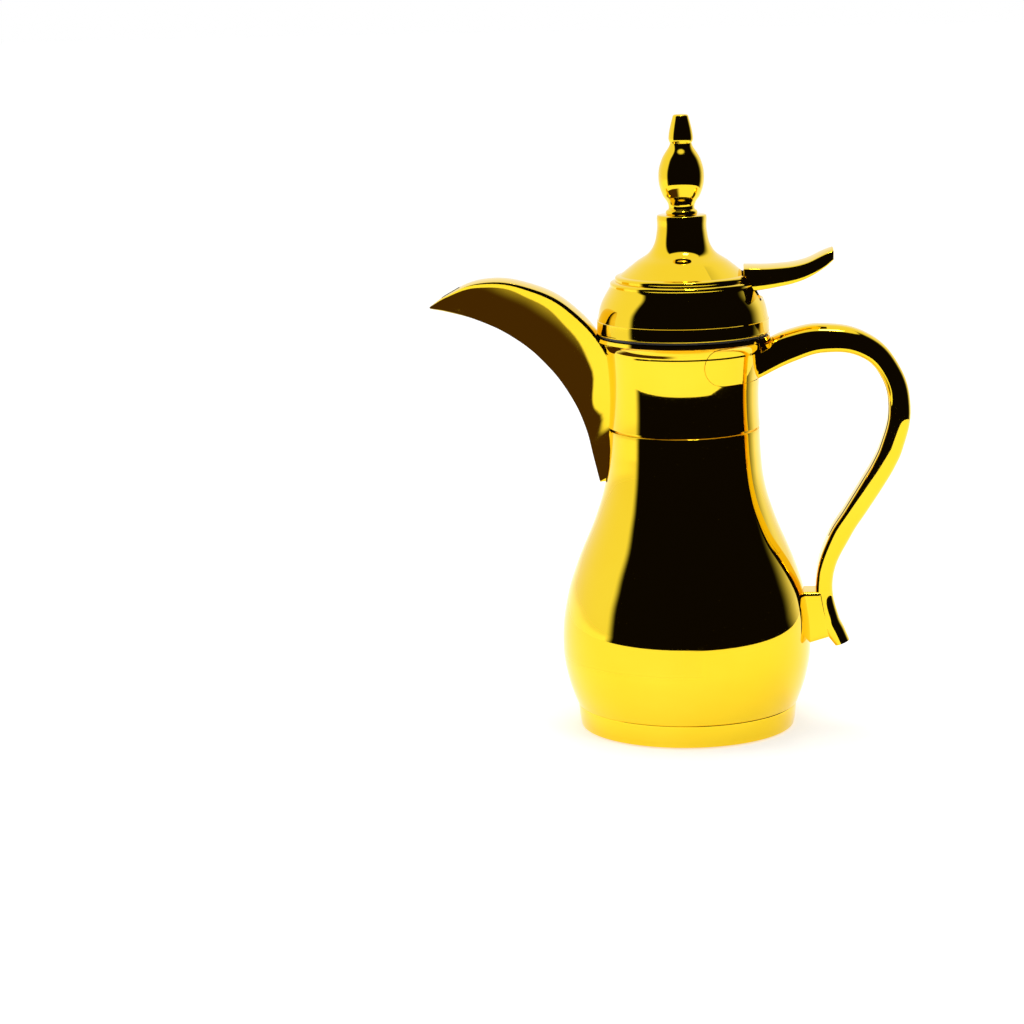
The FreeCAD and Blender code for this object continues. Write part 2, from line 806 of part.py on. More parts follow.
# Collar with the handle plate
def draw_port(sketch):
    """The opening that leads from the neck to the spout."""
    draw(sketch, [
        (-d.port_half_width, d.port_bottom),
        (d.port_half_width, d.port_bottom),
        (d.port_half_width, d.port_top),
        (-d.port_half_width, d.port_top),
    ])


def plate_block(label, growth):
    """The part of the collar's skin that the handle plate takes up, grown on every edge."""
    ring = turned(f"{label}_skin", collar_side(ZERO) + backwards(collar_side(d.plate_thickness)))
    block = new_body(f"{label}_shape")
    half = d.plate_half_height + growth
    slab(block, d.lip_radius, [
        (d.plate_reach, d.plate_height - half, d.plate_reach - half, d.plate_height),
        (d.lip_radius, d.plate_height - half),
        (d.lip_radius, d.plate_height + half),
        (d.plate_reach, d.plate_height + half),
    ])
    return combine("Part::Common", label, [ring, block])


def make_collar(bore):
    """The neck collar and the plate let into it that carries the handle."""
    lip_bore = d.lip_radius - d.lip_wall
    spigot_radius = d.neck_radius - d.shell_wall
    spigot_bottom = d.shell_top - d.collar_spigot_depth
    blank = turned("collar_blank", [
        (d.collar_bore, spigot_bottom),
        (spigot_radius, spigot_bottom),
        (spigot_radius, collar_bottom),
    ] + collar_side(ZERO) + [
        (d.lip_radius, d.rim_height),
        (lip_bore, d.rim_height),
        (lip_bore, d.seat_cone_height + lip_bore - d.collar_bore),
        (d.collar_bore, d.seat_cone_height),
    ])
    cut_through(blank, "YZ_Plane", d.lip_radius, draw_port)
    recess = plate_block("plate_recess", d.plate_seam)
    head = d.handle_screw_head_radius + d.plate_seam
    head_bore = rod_along("collar_head_bore", X_AXIS, head, d.handle_screw_head + d.plate_seam,
                          (d.collar_bore - d.plate_seam, ZERO, d.upper_screw_height))
    collar = combine("Part::Cut", "neck_collar", [blank, recess, head_bore, bore])
    plate = combine("Part::Cut", "handle_plate", [plate_block("plate_blank", ZERO), bore])
    return collar, plate


def make_inner_neck():
    """The sleeve inside the collar, with the pouring port and the thread for the stopper."""
    flange = d.collar_bore + d.inner_neck_flange
    flange_top = d.seat_cone_height + d.inner_neck_flange
    body = turned("inner_neck", [
        (inner_neck_bore, inner_neck_bottom),
        (d.collar_bore, inner_neck_bottom),
        (d.collar_bore, d.seat_cone_height),
        (flange, flange_top),
        (flange - d.inner_neck_wall, flange_top),
        (inner_neck_bore, flange_top - d.inner_neck_flange + d.inner_neck_wall),
    ])
    cut_through(body, "YZ_Plane", d.lip_radius, draw_port)
    add_thread(body, inner_neck_bore, -d.thread_depth, d.thread_height)
    return body


def add_thread(body, radius, depth, height):
    """Adds three short helical ridges to a round wall, outwards or inwards by depth."""
    sketch = new_sketch(body, "XZ_Plane")
    root = radius - depth * THREAD_ROOT_SHARE
    draw(sketch, [
        (root, height - d.thread_root / 2),
        (radius + depth, height - d.thread_crest / 2),
        (radius + depth, height + d.thread_crest / 2),
        (root, height + d.thread_root / 2),
    ])
    ridge = body.newObject("PartDesign::AdditiveHelix", f"{body.Label}_ridge")
    ridge.Profile = sketch
    ridge.ReferenceAxis = (sketch, ["V_Axis"])
    ridge.Mode = "pitch-height-angle"
    ridge.Pitch = d.thread_lead.value
    ridge.Height = (d.thread_lead * d.thread_arc / 360).value
    bind(ridge, "Pitch", d.thread_lead)
    bind(ridge, "Height", d.thread_lead * d.thread_arc / 360)
    doc.recompute()
    ring = body.newObject("PartDesign::PolarPattern", f"{body.Label}_thread")
    ring.Originals = [ridge]
    ring.Axis = (sketch, ["V_Axis"])
    ring.Angle = 360
    ring.Occurrences = THREAD_STARTS
    body.Tip = ring
    doc.recompute()


# The space that the pot's own walls and the turning lid take up
def make_envelope():
    """A solid of the pot's outside, which trims what is fixed onto it."""
    return turned("pot_envelope", [(0, d.foot_top)] + shell_side(ZERO) + collar_side(ZERO) + [
        (d.lip_radius, d.rim_height),
        (lid_clear_radius, d.rim_height),
        (lid_clear_radius, d.finial_top),
        (0, d.finial_top),
    ])


def slanted_sketch(body, out, up, lean, rise):
    """A sketch at a point of the plane of spout and handle, whose upright follows lean and rise."""
    sketch = new_sketch(body, "YZ_Plane")
    angle = math.degrees(math.atan2(lean.value, rise.value))
    sketch.AttachmentOffset = Placement(Vector(0, up.value, out.value), Rotation(X_AXIS, angle))
    bind(sketch, "AttachmentOffset.Base.y", up)
    bind(sketch, "AttachmentOffset.Base.z", out)
    sketch.setExpression("AttachmentOffset.Rotation.Angle", f"atan2({lean.text}; {rise.text})")
    return sketch


# Spout
def spout_section(body, number, wall):
    """One section of the spout, along the line from its keel to the middle of its top."""
    keel_out = row_size("spout", "keel_out", number)
    keel_up = row_size("spout", "keel_up", number)
    lean = keel_out - row_size("spout", "top_out", number)
    rise = row_size("spout", "top_up", number) - keel_up
    half_width = row_size("spout", "half_width", number)
    depth = length_of(lean, rise)
    edge = depth - half_width * d.spout_crown - wall * SPOUT_EDGE_SHARE
    inside = half_width - wall
    flank = inside * d.spout_flank_width
    flank_rise = depth * d.spout_flank_rise + wall * SPOUT_FLANK_SHARE
    sketch = slanted_sketch(body, -keel_out, keel_up, lean, rise)
    draw(sketch, [
        (inside, edge, flank, flank_rise),
        (-inside, edge, ZERO, depth - wall),
        (ZERO, wall, -flank, flank_rise),
    ])
    return sketch


def loft(body, kind, sketches):
    """Runs a smooth skin through sections."""
    feature = body.newObject(kind, f"{body.Label}_loft")
    feature.Profile = sketches[0]
    feature.Sections = sketches[1:]
    feature.Ruled = False
    doc.recompute()
    return feature


def make_spout(envelope):
    """The hollow beak, trimmed to the pot's outside."""
    body = new_body("spout_blank")
    every = range(len(SPOUT_SECTIONS))
    loft(body, "PartDesign::AdditiveLoft", [spout_section(body, number, ZERO) for number in every])
    loft(body, "PartDesign::SubtractiveLoft",
         [spout_section(body, number, d.spout_wall) for number in HOLLOW_SECTIONS])
    cut_through(body, "XY_Plane", d.chimney_top - d.spout_mouth_bottom, offset=d.chimney_top,
                sketch_work=lambda sketch: draw(sketch, [
                    (-d.spout_mouth_end, -d.spout_mouth_half_width),
                    (-d.spout_mouth_start, -d.spout_mouth_half_width),
                    (-d.spout_mouth_start, d.spout_mouth_half_width,
                     d.spout_mouth_half_width - d.spout_mouth_start, ZERO),
                    (-d.spout_mouth_end, d.spout_mouth_half_width),
                ]))
    return combine("Part::Cut", "spout", [body, envelope])


# Handle
def handle_section(body, number, outline):
    """A section of the handle or its strip, measured from the handle's inner edge outwards."""
    inner_out = row_size("handle", "inner_out", number)
    inner_up = row_size("handle", "inner_up", number)
    lean = row_size("handle", "outer_out", number) - inner_out
    rise = row_size("handle", "outer_up", number) - inner_up
    sketch = slanted_sketch(body, inner_out, inner_up, lean, rise)
    draw(sketch, outline(length_of(lean, rise)))
    return sketch


def rounded_bar(thickness):
    """The handle's section: a bar with rounded corners."""
    half, round_off = d.handle_half_width, d.handle_round
    flat, top = half - round_off, thickness - round_off
    near = half - round_off * ROUND_SHARE
    low, high = round_off * ROUND_SHARE, thickness - round_off * ROUND_SHARE
    return [
        (-flat, ZERO, -near, low),
        (flat, ZERO),
        (half, round_off, near, low),
        (half, top),
        (flat, thickness, near, high),
        (-flat, thickness),
        (-half, top, -near, high),
        (-half, round_off),
    ]


def strip_bar(thickness):
    """The section of the strip along the handle's inner edge, which stands a little proud."""
    half, depth = d.strip_half_width, thickness * d.strip_share
    return [(-half, -d.strip_proud), (half, -d.strip_proud), (half, depth), (-half, depth)]


def round_side_edges(body, feature, half_width, radius, least_out):
    """Rounds the long edges on both flanks of a slab, beyond a distance from the axis."""
    names = []
    for number, edge in enumerate(feature.Shape.Edges, start=1):
        middle = edge.CenterOfMass
        if abs(abs(middle.y) - half_width.value) < 1e-6 and middle.x > least_out.value:
            names.append(f"Edge{number}")
    fillet = body.newObject("PartDesign::Fillet", f"{body.Label}_rounding")
    fillet.Base = (feature, names)
    fillet.Radius = radius.value
    bind(fillet, "Radius", radius)
    doc.recompute()


def make_handle(envelope, bores):
    """The handle and the strip that closes its inner edge."""
    every = range(len(HANDLE_CORNERS))
    blank = new_body("handle_blank")
    loft(blank, "PartDesign::AdditiveLoft",
         [handle_section(blank, number, rounded_bar) for number in every])
    loft(blank, "PartDesign::SubtractiveLoft",
         [handle_section(blank, number, strip_bar) for number in STRIP_CORNERS])
    strip = new_body("handle_strip")
    loft(strip, "PartDesign::AdditiveLoft",
         [handle_section(strip, number, strip_bar) for number in STRIP_CORNERS])
    return combine("Part::Cut", "handle", [blank, envelope] + bores), strip


def make_handle_bracket(envelope, handle, bore):
    """The block that joins the lower end of the handle to the body."""
    blank = new_body("bracket_blank")
    feature = slab(blank, d.bracket_half_width, [
        (d.neck_radius, d.bracket_bottom),
        (d.bracket_bottom_out, d.bracket_bottom),
        (d.bracket_tip_out, d.bracket_tip_height),
        (d.bracket_top_out, d.bracket_top),
        (d.neck_radius, d.bracket_top),
    ])
    round_side_edges(blank, feature, d.bracket_half_width, d.bracket_round, d.neck_radius)
    return combine("Part::Cut", "handle_bracket", [blank, envelope, handle, bore])


def make_handle_screw(name, head_start, height, reach):
    """A screw along +X with a flat head at its inner end."""
    head = rod_along(f"{name}_head", X_AXIS, d.handle_screw_head_radius, d.handle_screw_head,
                     (head_start, ZERO, height))
    shank_start = head_start + d.handle_screw_head
    shank = rod_along(f"{name}_shank", X_AXIS, d.handle_screw_radius, reach - shank_start,
                      (shank_start, ZERO, height))
    return combine("Part::Fuse", name, [head, shank])


def group(label, pieces):
    """Several like pieces in one node."""
    bundle = doc.addObject("Part::Compound", label)
    bundle.Links = pieces
    bundle.Label = label
    doc.recompute()
    return bundle


def make_handle_screws():
    """The two hidden screws that hold the handle."""
    lower_start = d.belly_radius - d.shell_wall - d.lower_screw_inset - d.handle_screw_head
    return group("handle_screws", [
        make_handle_screw("upper_handle_screw", d.collar_bore, d.upper_screw_height, d.upper_screw_reach),
        make_handle_screw("lower_handle_screw", lower_start, d.lower_screw_height, d.lower_screw_reach),
    ])


# Stopper, which closes the neck and carries the lid
flange_bottom = d.rim_height + d.flange_lift
dome_bottom = flange_bottom + d.flange_step
flange_top = flange_bottom + d.flange_thickness
dome_bore = d.skirt_radius - d.dome_wall
lever_base_top = flange_top + d.lever_base_thickness
lever_base_middle = (d.lever_base_in + d.lever_base_out) / 2
roof_bottom = d.chimney_top - d.chimney_roof


def lever_screw_places():
    """Where the two screws of the lever bracket stand."""
    return [(lever_base_middle, side * d.lever_screw_spread) for side in (-1, 1)]


def lever_screw_bores(label):
    """The two holes for the screws of the lever bracket."""
    depth = d.lever_base_thickness + d.lever_screw_depth
    return [
        rod_along(f"{label}_bore", Z_AXIS, d.lever_screw_radius, depth,
                  (across, side, lever_base_top - depth))
        for across, side in lever_screw_places()
    ]


def make_stopper():
    """The stopper with its seal groove, pouring windows, valve seat, rod guide and lid flange."""
    seal_top = d.seal_bottom + d.seal_height
    groove = d.stopper_radius - d.seal_depth
    spigot_inside = dome_bore - d.dome_spigot_wall
    spigot_top_height = flange_top + d.dome_spigot_height
    inside = d.stopper_radius - d.stopper_wall
    chamber = d.channel_radius - d.chamber_wall
    deck_top = d.deck_height + d.deck_thickness
    rod_bore = d.rod_radius + d.rod_play
    blank = turned("stopper_blank", [
        (d.seat_radius, d.stopper_bottom),
        (d.stopper_radius, d.stopper_bottom),
        (d.stopper_radius, d.seal_bottom),
        (groove, d.seal_bottom),
        (groove, seal_top),
        (d.stopper_radius, seal_top),
        (d.stopper_radius, d.channel_bottom),
        (d.channel_radius, d.channel_bottom),
        (d.channel_radius, d.channel_top),
        (d.stopper_radius, d.channel_top),
        (d.stopper_radius, flange_bottom),
        (d.flange_radius, flange_bottom),
        (d.flange_radius, dome_bottom),
        (dome_bore, dome_bottom),
        (dome_bore, spigot_top_height),
        (spigot_inside, spigot_top_height),
        (spigot_inside, flange_top),
        (inside, flange_top),
        (inside, deck_top),
        (d.guide_radius, deck_top),
        (d.guide_radius, d.guide_top),
        (rod_bore, d.guide_top),
        (rod_bore, d.deck_height),
        (chamber, d.deck_height),
        (chamber, d.seat_height),
        (d.seat_radius, d.seat_height),
    ])
    window = cut_through(blank, "YZ_Plane", d.stopper_radius, lambda sketch: draw(sketch, [
        (-d.window_half_width, d.window_bottom),
        (d.window_half_width, d.window_bottom),
        (d.window_half_width, d.window_top),
        (-d.window_half_width, d.window_top),
    ]))
    ring = blank.newObject("PartDesign::PolarPattern", "stopper_windows")
    ring.Originals = [window]
    ring.Axis = (window.Profile[0], ["V_Axis"])
    ring.Angle = 360
    ring.Occurrences = STOPPER_WINDOWS
    blank.Tip = ring
    doc.recompute()
    add_thread(blank, d.stopper_radius, d.thread_depth, d.thread_height - d.thread_root - d.thread_play)
    return combine("Part::Cut", "stopper", [blank] + lever_screw_bores("stopper"))


def make_stopper_gasket():
    """The ring that seals the stopper in the neck."""
    inside = d.stopper_radius - d.seal_depth + d.seal_play
    outside = inner_neck_bore - d.seal_play
    bottom = d.seal_bottom + d.seal_play
    top = d.seal_bottom + d.seal_height - d.seal_play
    return turned("stopper_gasket", [(inside, bottom), (outside, bottom), (outside, top), (inside, top)])


# Valve
def make_valve():
    """The lifting rod and the plug on it."""
    plug_bottom = d.seat_height + d.plug_gap
    collar_top = d.lift_collar_height + d.lift_collar_thickness
    rod = turned("valve_rod", [
        (0, plug_bottom - d.rod_head_height),
        (d.rod_head_radius, plug_bottom - d.rod_head_height),
        (d.rod_head_radius, plug_bottom),
        (d.rod_radius, plug_bottom),
        (d.rod_radius, d.lift_collar_height),
        (d.lift_collar_radius, d.lift_collar_height),
        (d.lift_collar_radius, collar_top),
        (d.rod_radius, collar_top),
        (d.rod_radius, d.rod_top),
        (0, d.rod_top),
    ])
    plug = turned("valve_plug", [
        (d.rod_radius, plug_bottom),
        (d.plug_radius, plug_bottom),
        (d.plug_radius, plug_bottom + d.plug_height / 2),
        (d.rod_head_radius, plug_bottom + d.plug_height),
        (d.rod_radius, plug_bottom + d.plug_height),
    ])
    return rod, plug


def tangent_arc(start, direction, end):
    """An arc from start to end that leaves start in a direction."""
    chord = end - start
    side = chord - direction * chord.dot(direction)
    radius = chord.dot(chord) / (2 * side.Length)
    normal = side.normalize()
    centre = start + normal * radius
    middle = (start + end) * 0.5 - centre
    return Part.Arc(start, centre + middle.normalize() * radius, end).toShape()


def biarc(start, leaving, end, arriving):
    """Two arcs that join two points and keep the directions there."""
    gap = end - start
    both = leaving + arriving
    spread = 2 * (1 - leaving.dot(arriving))
    reach = (math.sqrt(gap.dot(both) ** 2 + spread * gap.dot(gap)) - gap.dot(both)) / spread
    joint = (start + leaving * reach + end - arriving * reach) * 0.5
    first = tangent_arc(start, leaving, joint)
    second = tangent_arc(end, -arriving, joint)
    return [first, second]


def make_valve_spring():
    """The coil spring in the chimney that pushes the valve shut."""
    radius, wire, turns = d.spring_radius.value, d.spring_wire.value, int(d.spring_turns.value)
    end_room = (d.spring_end_gap + d.spring_wire / 2).value
    bottom = (d.lift_collar_height + d.lift_collar_thickness).value + end_room
    top = roof_bottom.value - end_room
    lead = (top - bottom) / turns
    climb = lead / (2 * math.pi)

    def on_coil(angle):
        return Vector(radius * math.cos(angle), radius * math.sin(angle), bottom + climb * angle)

    def along_coil(angle):
        return Vector(-radius * math.sin(angle), radius * math.cos(angle), climb).normalize()

    edges = []
    for step in range(4 * turns):
        first, last = step * math.pi / 2, (step + 1) * math.pi / 2
        edges += biarc(on_coil(first), along_coil(first), on_coil(last), along_coil(last))
    path = Part.Wire(Part.__sortEdges__(edges))
    section = Part.Wire(Part.Circle(on_coil(0), along_coil(0), wire / 2).toShape())
    spring = doc.addObject("Part::Feature", "valve_spring")
    spring.Shape = path.makePipeShell([section], True, False)
    spring.Label = "valve_spring"
    print(f"valve spring: least gap between turns {lead - wire:.2f} mm")
    return spring


# Lid dome, finial and their screw
def bead_corner(number):
    """The lower corner of a bead ring on the dome."""
    return d.bead_radius - number * d.bead_step, d.bead_height + number * d.bead_rise


def bead_arc(number):
    """The upper corner of a bead ring and the point that its round passes through."""
    radius, height = bead_corner(number)
    top_radius, top = radius - d.bead_step + d.bead_ledge, height + d.bead_rise
    return (top_radius, top, (radius + top_radius) / 2 + d.bead_bulge, (height + top) / 2 + d.bead_bulge / 2)


def make_lid_dome():
    """The lid's shell: skirt, dome, bead rings, flare and chimney."""
    edge_top = dome_bottom + d.dome_edge_height
    chimney_bore = d.chimney_radius - d.chimney_wall
    beads = []
    for number in range(BEAD_RINGS):
        beads += [bead_corner(number), bead_arc(number)]
    beads_end = bead_corner(BEAD_RINGS)
    thin = d.dome_wall * SLANT_SHARE
    body = turned("lid_dome", [
        (dome_bore, dome_bottom),
        (d.dome_edge_radius, dome_bottom),
        (d.dome_edge_radius, edge_top),
        (d.skirt_radius, edge_top + d.dome_edge_radius - d.skirt_radius),
        (d.skirt_radius, d.skirt_top),
        (d.dome_radius, d.skirt_top + d.skirt_radius - d.dome_radius),
        beads[0] + (d.mid_dome_radius, d.mid_dome_height),
    ] + beads[1:] + [
        beads_end,
        (d.flare_start_radius, d.flare_start_height),
        (d.chimney_radius, d.chimney_bottom, d.flare_mid_radius, d.flare_mid_height),
        (d.chimney_radius, d.chimney_top - d.chimney_chamfer),
        (d.chimney_radius - d.chimney_chamfer, d.chimney_top),
        (d.finial_screw_radius, d.chimney_top),
        (d.finial_screw_radius, roof_bottom),
        (chimney_bore, roof_bottom),
        (chimney_bore, d.chimney_bottom),
        (d.flare_start_radius - thin, d.flare_start_height - thin,
         d.flare_mid_radius - thin, d.flare_mid_height - thin),
        (beads_end[0] - thin, beads_end[1] - thin),
        (d.bead_radius - d.dome_wall, d.bead_height - thin),
        (dome_bore, d.skirt_top, d.mid_dome_radius - d.dome_wall, d.mid_dome_height),
    ])
    slot = d.lever_half_width + d.lever_slot_play
    cut_through(body, "XZ_Plane", 2 * slot, both_sides=True, sketch_work=lambda sketch: draw(sketch, [
        (d.lever_slot_start, d.lever_slot_bottom),
        (d.dome_edge_radius, d.lever_slot_bottom),
        (d.dome_edge_radius, d.chimney_top),
        (d.lever_slot_start, d.chimney_top),
    ]))
    return body


def make_finial():
    """The turned knob on the chimney: ring, neck, egg and tip."""
    ring_top = d.chimney_top + d.finial_ring_height
    screw_end = d.chimney_top + d.finial_screw_depth
    return turned("finial", [
        (d.finial_screw_radius, d.chimney_top),
        (d.finial_ring_radius, d.chimney_top),
        (d.finial_neck_radius, ring_top,
         d.finial_ring_radius, d.chimney_top + d.finial_ring_height * RING_SHARE),
        (d.finial_neck_radius, d.finial_neck_height),
        (d.egg_radius, d.egg_height, d.egg_low_radius, d.egg_low_height),
        (d.egg_top_radius, d.egg_top_height, d.egg_high_radius, d.egg_high_height),
        (d.egg_top_radius, d.tip_bead_bottom),
        (d.tip_bead_radius, d.tip_bead_height),
        (d.tip_top_radius, d.finial_top - d.tip_round),
        (d.tip_top_radius - d.tip_round, d.finial_top,
         d.tip_top_radius - d.tip_round * ROUND_SHARE, d.finial_top - d.tip_round * ROUND_SHARE),
        (0, d.finial_top),
        (0, screw_end),
        (d.finial_screw_radius, screw_end),
    ])


def make_finial_screw():
    """The screw that holds the finial from inside the chimney."""
    return turned("finial_screw", [
        (0, roof_bottom - d.finial_screw_head),
        (d.finial_screw_head_radius, roof_bottom - d.finial_screw_head),
        (d.finial_screw_head_radius, roof_bottom),
        (d.finial_screw_radius, roof_bottom),
        (d.finial_screw_radius, d.chimney_top + d.finial_screw_depth),
        (0, d.chimney_top + d.finial_screw_depth),
    ])


# Thumb lever
def lever_section(body, number):
    """One section of the thumb plate: flat underside, straight flanks and crowned top."""
    share = row_size("lever", "width_share", number)
    half = d.lever_half_width * share
    bottom = row_size("lever", "bottom_up", number)
    edge = row_size("lever", "edge_up", number)
    sketch = new_sketch(body, "YZ_Plane", row_size("lever", "out", number))
    draw(sketch, [
        (-half, bottom),
        (half, bottom),
        (half, edge),
        (-half, edge, ZERO, edge + d.lever_crown * share),
    ])
    return sketch


def make_thumb_lever():
    """The thumb plate with its hub and the fork that lifts the valve rod."""
    body = new_body("thumb_lever")
    loft(body, "PartDesign::AdditiveLoft",
         [lever_section(body, number) for number in range(len(LEVER_SECTIONS))])
    crest = d.lift_collar_height - d.fork_gap
    shoulder = crest - d.fork_drop
    heel = row_size("lever", "out", 0) + d.lever_heel
    corner = d.hub_radius * SLANT_SHARE
    slab(body, d.arm_half_width, [
        (heel, d.pivot_height),
        (d.pivot_out, d.pivot_height - d.hub_radius),
        (d.pivot_out - d.hub_radius, d.pivot_height, d.pivot_out - corner, d.pivot_height - corner),
        (d.fork_reach, shoulder - d.fork_depth),
        (-d.fork_reach, shoulder - d.fork_depth),
        (-d.fork_reach, shoulder),
        (d.fork_reach, shoulder, ZERO, crest),
        (d.pivot_out, d.pivot_height + d.hub_radius),
        (heel, d.pivot_height + d.lever_heel_rise),
    ])
    cut_through(body, "XY_Plane", d.fork_drop + d.fork_depth + d.fork_gap, offset=d.lift_collar_height,
                sketch_work=lambda sketch: draw(sketch, [
                    (-d.fork_reach, -d.fork_half_gap),
                    (d.fork_half_gap, -d.fork_half_gap),
                    (d.fork_half_gap, d.fork_half_gap),
                    (-d.fork_reach, d.fork_half_gap),
                ]))
    cut_through(body, "XZ_Plane", 2 * d.arm_half_width, both_sides=True,
                sketch_work=lambda sketch: draw_circle(sketch, d.pivot_out, d.pivot_height,
                                                       d.pin_radius + d.pin_play))
    return body


def make_lever_bracket():
    """The bracket on the stopper that holds the lever's pin."""
    inside = d.arm_half_width + d.bracket_play
    half_width = inside + d.ear_thickness
    blank = new_body("lever_bracket_blank")
    slab(blank, half_width, [
        (d.lever_base_in, flange_top),
        (d.lever_base_out, flange_top),
        (d.lever_base_out, lever_base_top),
        (d.pivot_out + d.ear_radius, d.pivot_height),
        (d.pivot_out - d.ear_radius, d.pivot_height, d.pivot_out, d.pivot_height + d.ear_radius),
        (d.lever_base_in, lever_base_top),
    ])
    cut_through(blank, "YZ_Plane", d.dome_radius, backwards=True, sketch_work=lambda sketch: draw(sketch, [
        (-inside, lever_base_top),
        (inside, lever_base_top),
        (inside, d.pivot_height + 2 * d.ear_radius),
        (-inside, d.pivot_height + 2 * d.ear_radius),
    ]))
    cut_through(blank, "XZ_Plane", 2 * half_width, both_sides=True,
                sketch_work=lambda sketch: draw_circle(sketch, d.pivot_out, d.pivot_height, d.pin_radius))
    bracket = combine("Part::Cut", "lever_bracket", [blank] + lever_screw_bores("lever_bracket"))
    pin = rod_along("lever_pin", Y_AXIS, d.pin_radius, 2 * half_width,
                    (d.pivot_out, -half_width, d.pivot_height))
    return bracket, pin


def make_lever_screws():
    """The two screws that hold the lever bracket on the stopper."""
    screws = []
    for number, (across, side) in enumerate(lever_screw_places()):
        depth = d.lever_base_thickness + d.lever_screw_depth
        head = rod_along(f"lever_screw_head_{number}", Z_AXIS, d.lever_screw_head_radius, d.lever_screw_head,
                         (across, side, lever_base_top))
        shank = rod_along(f"lever_screw_shank_{number}", Z_AXIS, d.lever_screw_radius, depth,
                          (across, side, lever_base_top - depth))
        screws.append(combine("Part::Fuse", f"lever_screw_{number}", [head, shank]))
    return group("lever_screws", screws)


def make_all():
    """Makes every piece and returns those that are written out."""
    envelope = make_envelope()
    upper_bore = rod_along("upper_handle_bore", X_AXIS, d.handle_screw_radius, d.upper_screw_reach,
                           (ZERO, ZERO, d.upper_screw_height))
    lower_bore = rod_along("lower_handle_bore", X_AXIS, d.handle_screw_radius, d.lower_screw_reach,
                           (ZERO, ZERO, d.lower_screw_height))
    pieces = [make_base_pad(), make_base_cap(), make_body_shell(), make_liner_cushion(), make_glass_liner()]
    pieces += [make_mouth_gasket(), *make_collar(upper_bore), make_inner_neck(), make_spout(envelope)]
    handle, strip = make_handle(envelope, [upper_bore, lower_bore])
    pieces += [handle, strip, make_handle_bracket(envelope, handle, lower_bore), make_handle_screws()]
    pieces += [make_stopper(), make_stopper_gasket(), *make_valve(), make_valve_spring()]
    pieces += [make_lid_dome(), make_finial(), make_finial_screw()]
    pieces += [make_thumb_lever(), *make_lever_bracket(), make_lever_screws()]
    return pieces


def check(pieces):
    """Stops if any object failed or any piece is not a sound solid."""
    doc.recompute()
    for thing in doc.Objects:
        if "Invalid" in thing.State or "Error" in thing.State:
            raise RuntimeError(f"{thing.Label} failed: {thing.State}")
    for piece in pieces:
        shape = piece.Shape
        if shape.isNull() or not shape.isValid() or not shape.Solids:
            raise RuntimeError(f"{piece.Label} is not a sound solid")


PIECES = make_all()
check(PIECES)
os.makedirs("parts", exist_ok=True)
for piece in PIECES:
    piece.Shape.exportStep(f"parts/{piece.Label}.step")
    print(f"{piece.Label}: {len(piece.Shape.Solids)} solid(s), {piece.Shape.Volume:.1f} cubic mm")
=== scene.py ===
import math

import bmesh
import bpy
from bpy.props import FloatProperty, FloatVectorProperty, IntProperty, PointerProperty
from bpy.types import Operator, Panel, PropertyGroup
from mathutils import Matrix, Vector


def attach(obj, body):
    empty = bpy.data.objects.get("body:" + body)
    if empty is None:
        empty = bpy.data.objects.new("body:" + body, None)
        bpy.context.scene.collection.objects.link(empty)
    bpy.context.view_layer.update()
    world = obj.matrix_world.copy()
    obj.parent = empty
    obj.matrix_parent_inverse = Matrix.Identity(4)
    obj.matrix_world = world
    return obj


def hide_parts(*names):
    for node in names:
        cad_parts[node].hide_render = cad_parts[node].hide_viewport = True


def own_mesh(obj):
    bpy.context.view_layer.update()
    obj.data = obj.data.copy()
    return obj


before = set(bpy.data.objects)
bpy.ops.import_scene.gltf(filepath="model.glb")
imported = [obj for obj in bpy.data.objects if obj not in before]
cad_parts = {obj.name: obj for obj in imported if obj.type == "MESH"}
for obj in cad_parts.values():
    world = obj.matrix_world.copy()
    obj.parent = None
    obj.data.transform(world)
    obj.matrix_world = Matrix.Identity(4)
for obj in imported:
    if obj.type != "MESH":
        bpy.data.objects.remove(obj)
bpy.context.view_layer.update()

bl_info = {
    "name": "Dallah coffee pot",
    "version": (1, 0, 0),
    "blender": (4, 5, 0),
    "location": "View3D > Sidebar > Dallah",
    "description": "Dresses a vacuum-flask dallah in mirror gold and sets up its studio",
    "category": "Add Mesh",
}

MM = 0.001
WHITE = (1, 1, 1)
# Edges bent by more than this are sharp, and points nearer than this, in metres, are one
SHARP_ANGLE = math.radians(32)
MERGE = 1e-6
# Faces across a rounded edge, and the form of its section, where one half stands for an arc
RIDGE_STEPS = 3
RIDGE_PROFILE = 0.5
# How far the cuts for a window go past it, as a share of its size
CUT_REACH = 0.25


class GoldFinish(PropertyGroup):
    """The mirror gold plate."""

    bright: FloatVectorProperty(
        name="Bright gold", description="Colour of the plate where it is cleanest",
        subtype="COLOR", min=0, max=1, default=(0.96, 0.69, 0.035))
    deep: FloatVectorProperty(
        name="Deep gold", description="Colour of the plate where it is a little thicker",
        subtype="COLOR", min=0, max=1, default=(0.93, 0.63, 0.022))
    polish: FloatProperty(
        name="Polish", description="Roughness of the clean mirror", min=0, max=1, default=0.025)
    smear: FloatProperty(
        name="Smear", description="Roughness under faint wipe marks", min=0, max=1, default=0.06)
    ripple: FloatProperty(
        name="Ripple", description="Strength of the faint waviness of the polished metal",
        min=0, max=1, default=0.012)


class PotShape(PropertyGroup):
    """How finely the smooth skins are built, and their walls."""

    round_steps: IntProperty(
        name="Steps round", description="Faces round the pot's axis", min=32, max=512, default=160)
    curve_steps: IntProperty(
        name="Steps along", description="Points between two corners of an outline", min=2, max=32, default=8)
    wall: FloatProperty(
        name="Wall", description="Thickness of the plated shells", unit="LENGTH", default=1.6 * MM)
    edge_round: FloatProperty(
        name="Edge round", description="Rounding of the pressed edges", unit="LENGTH", default=0.4 * MM)


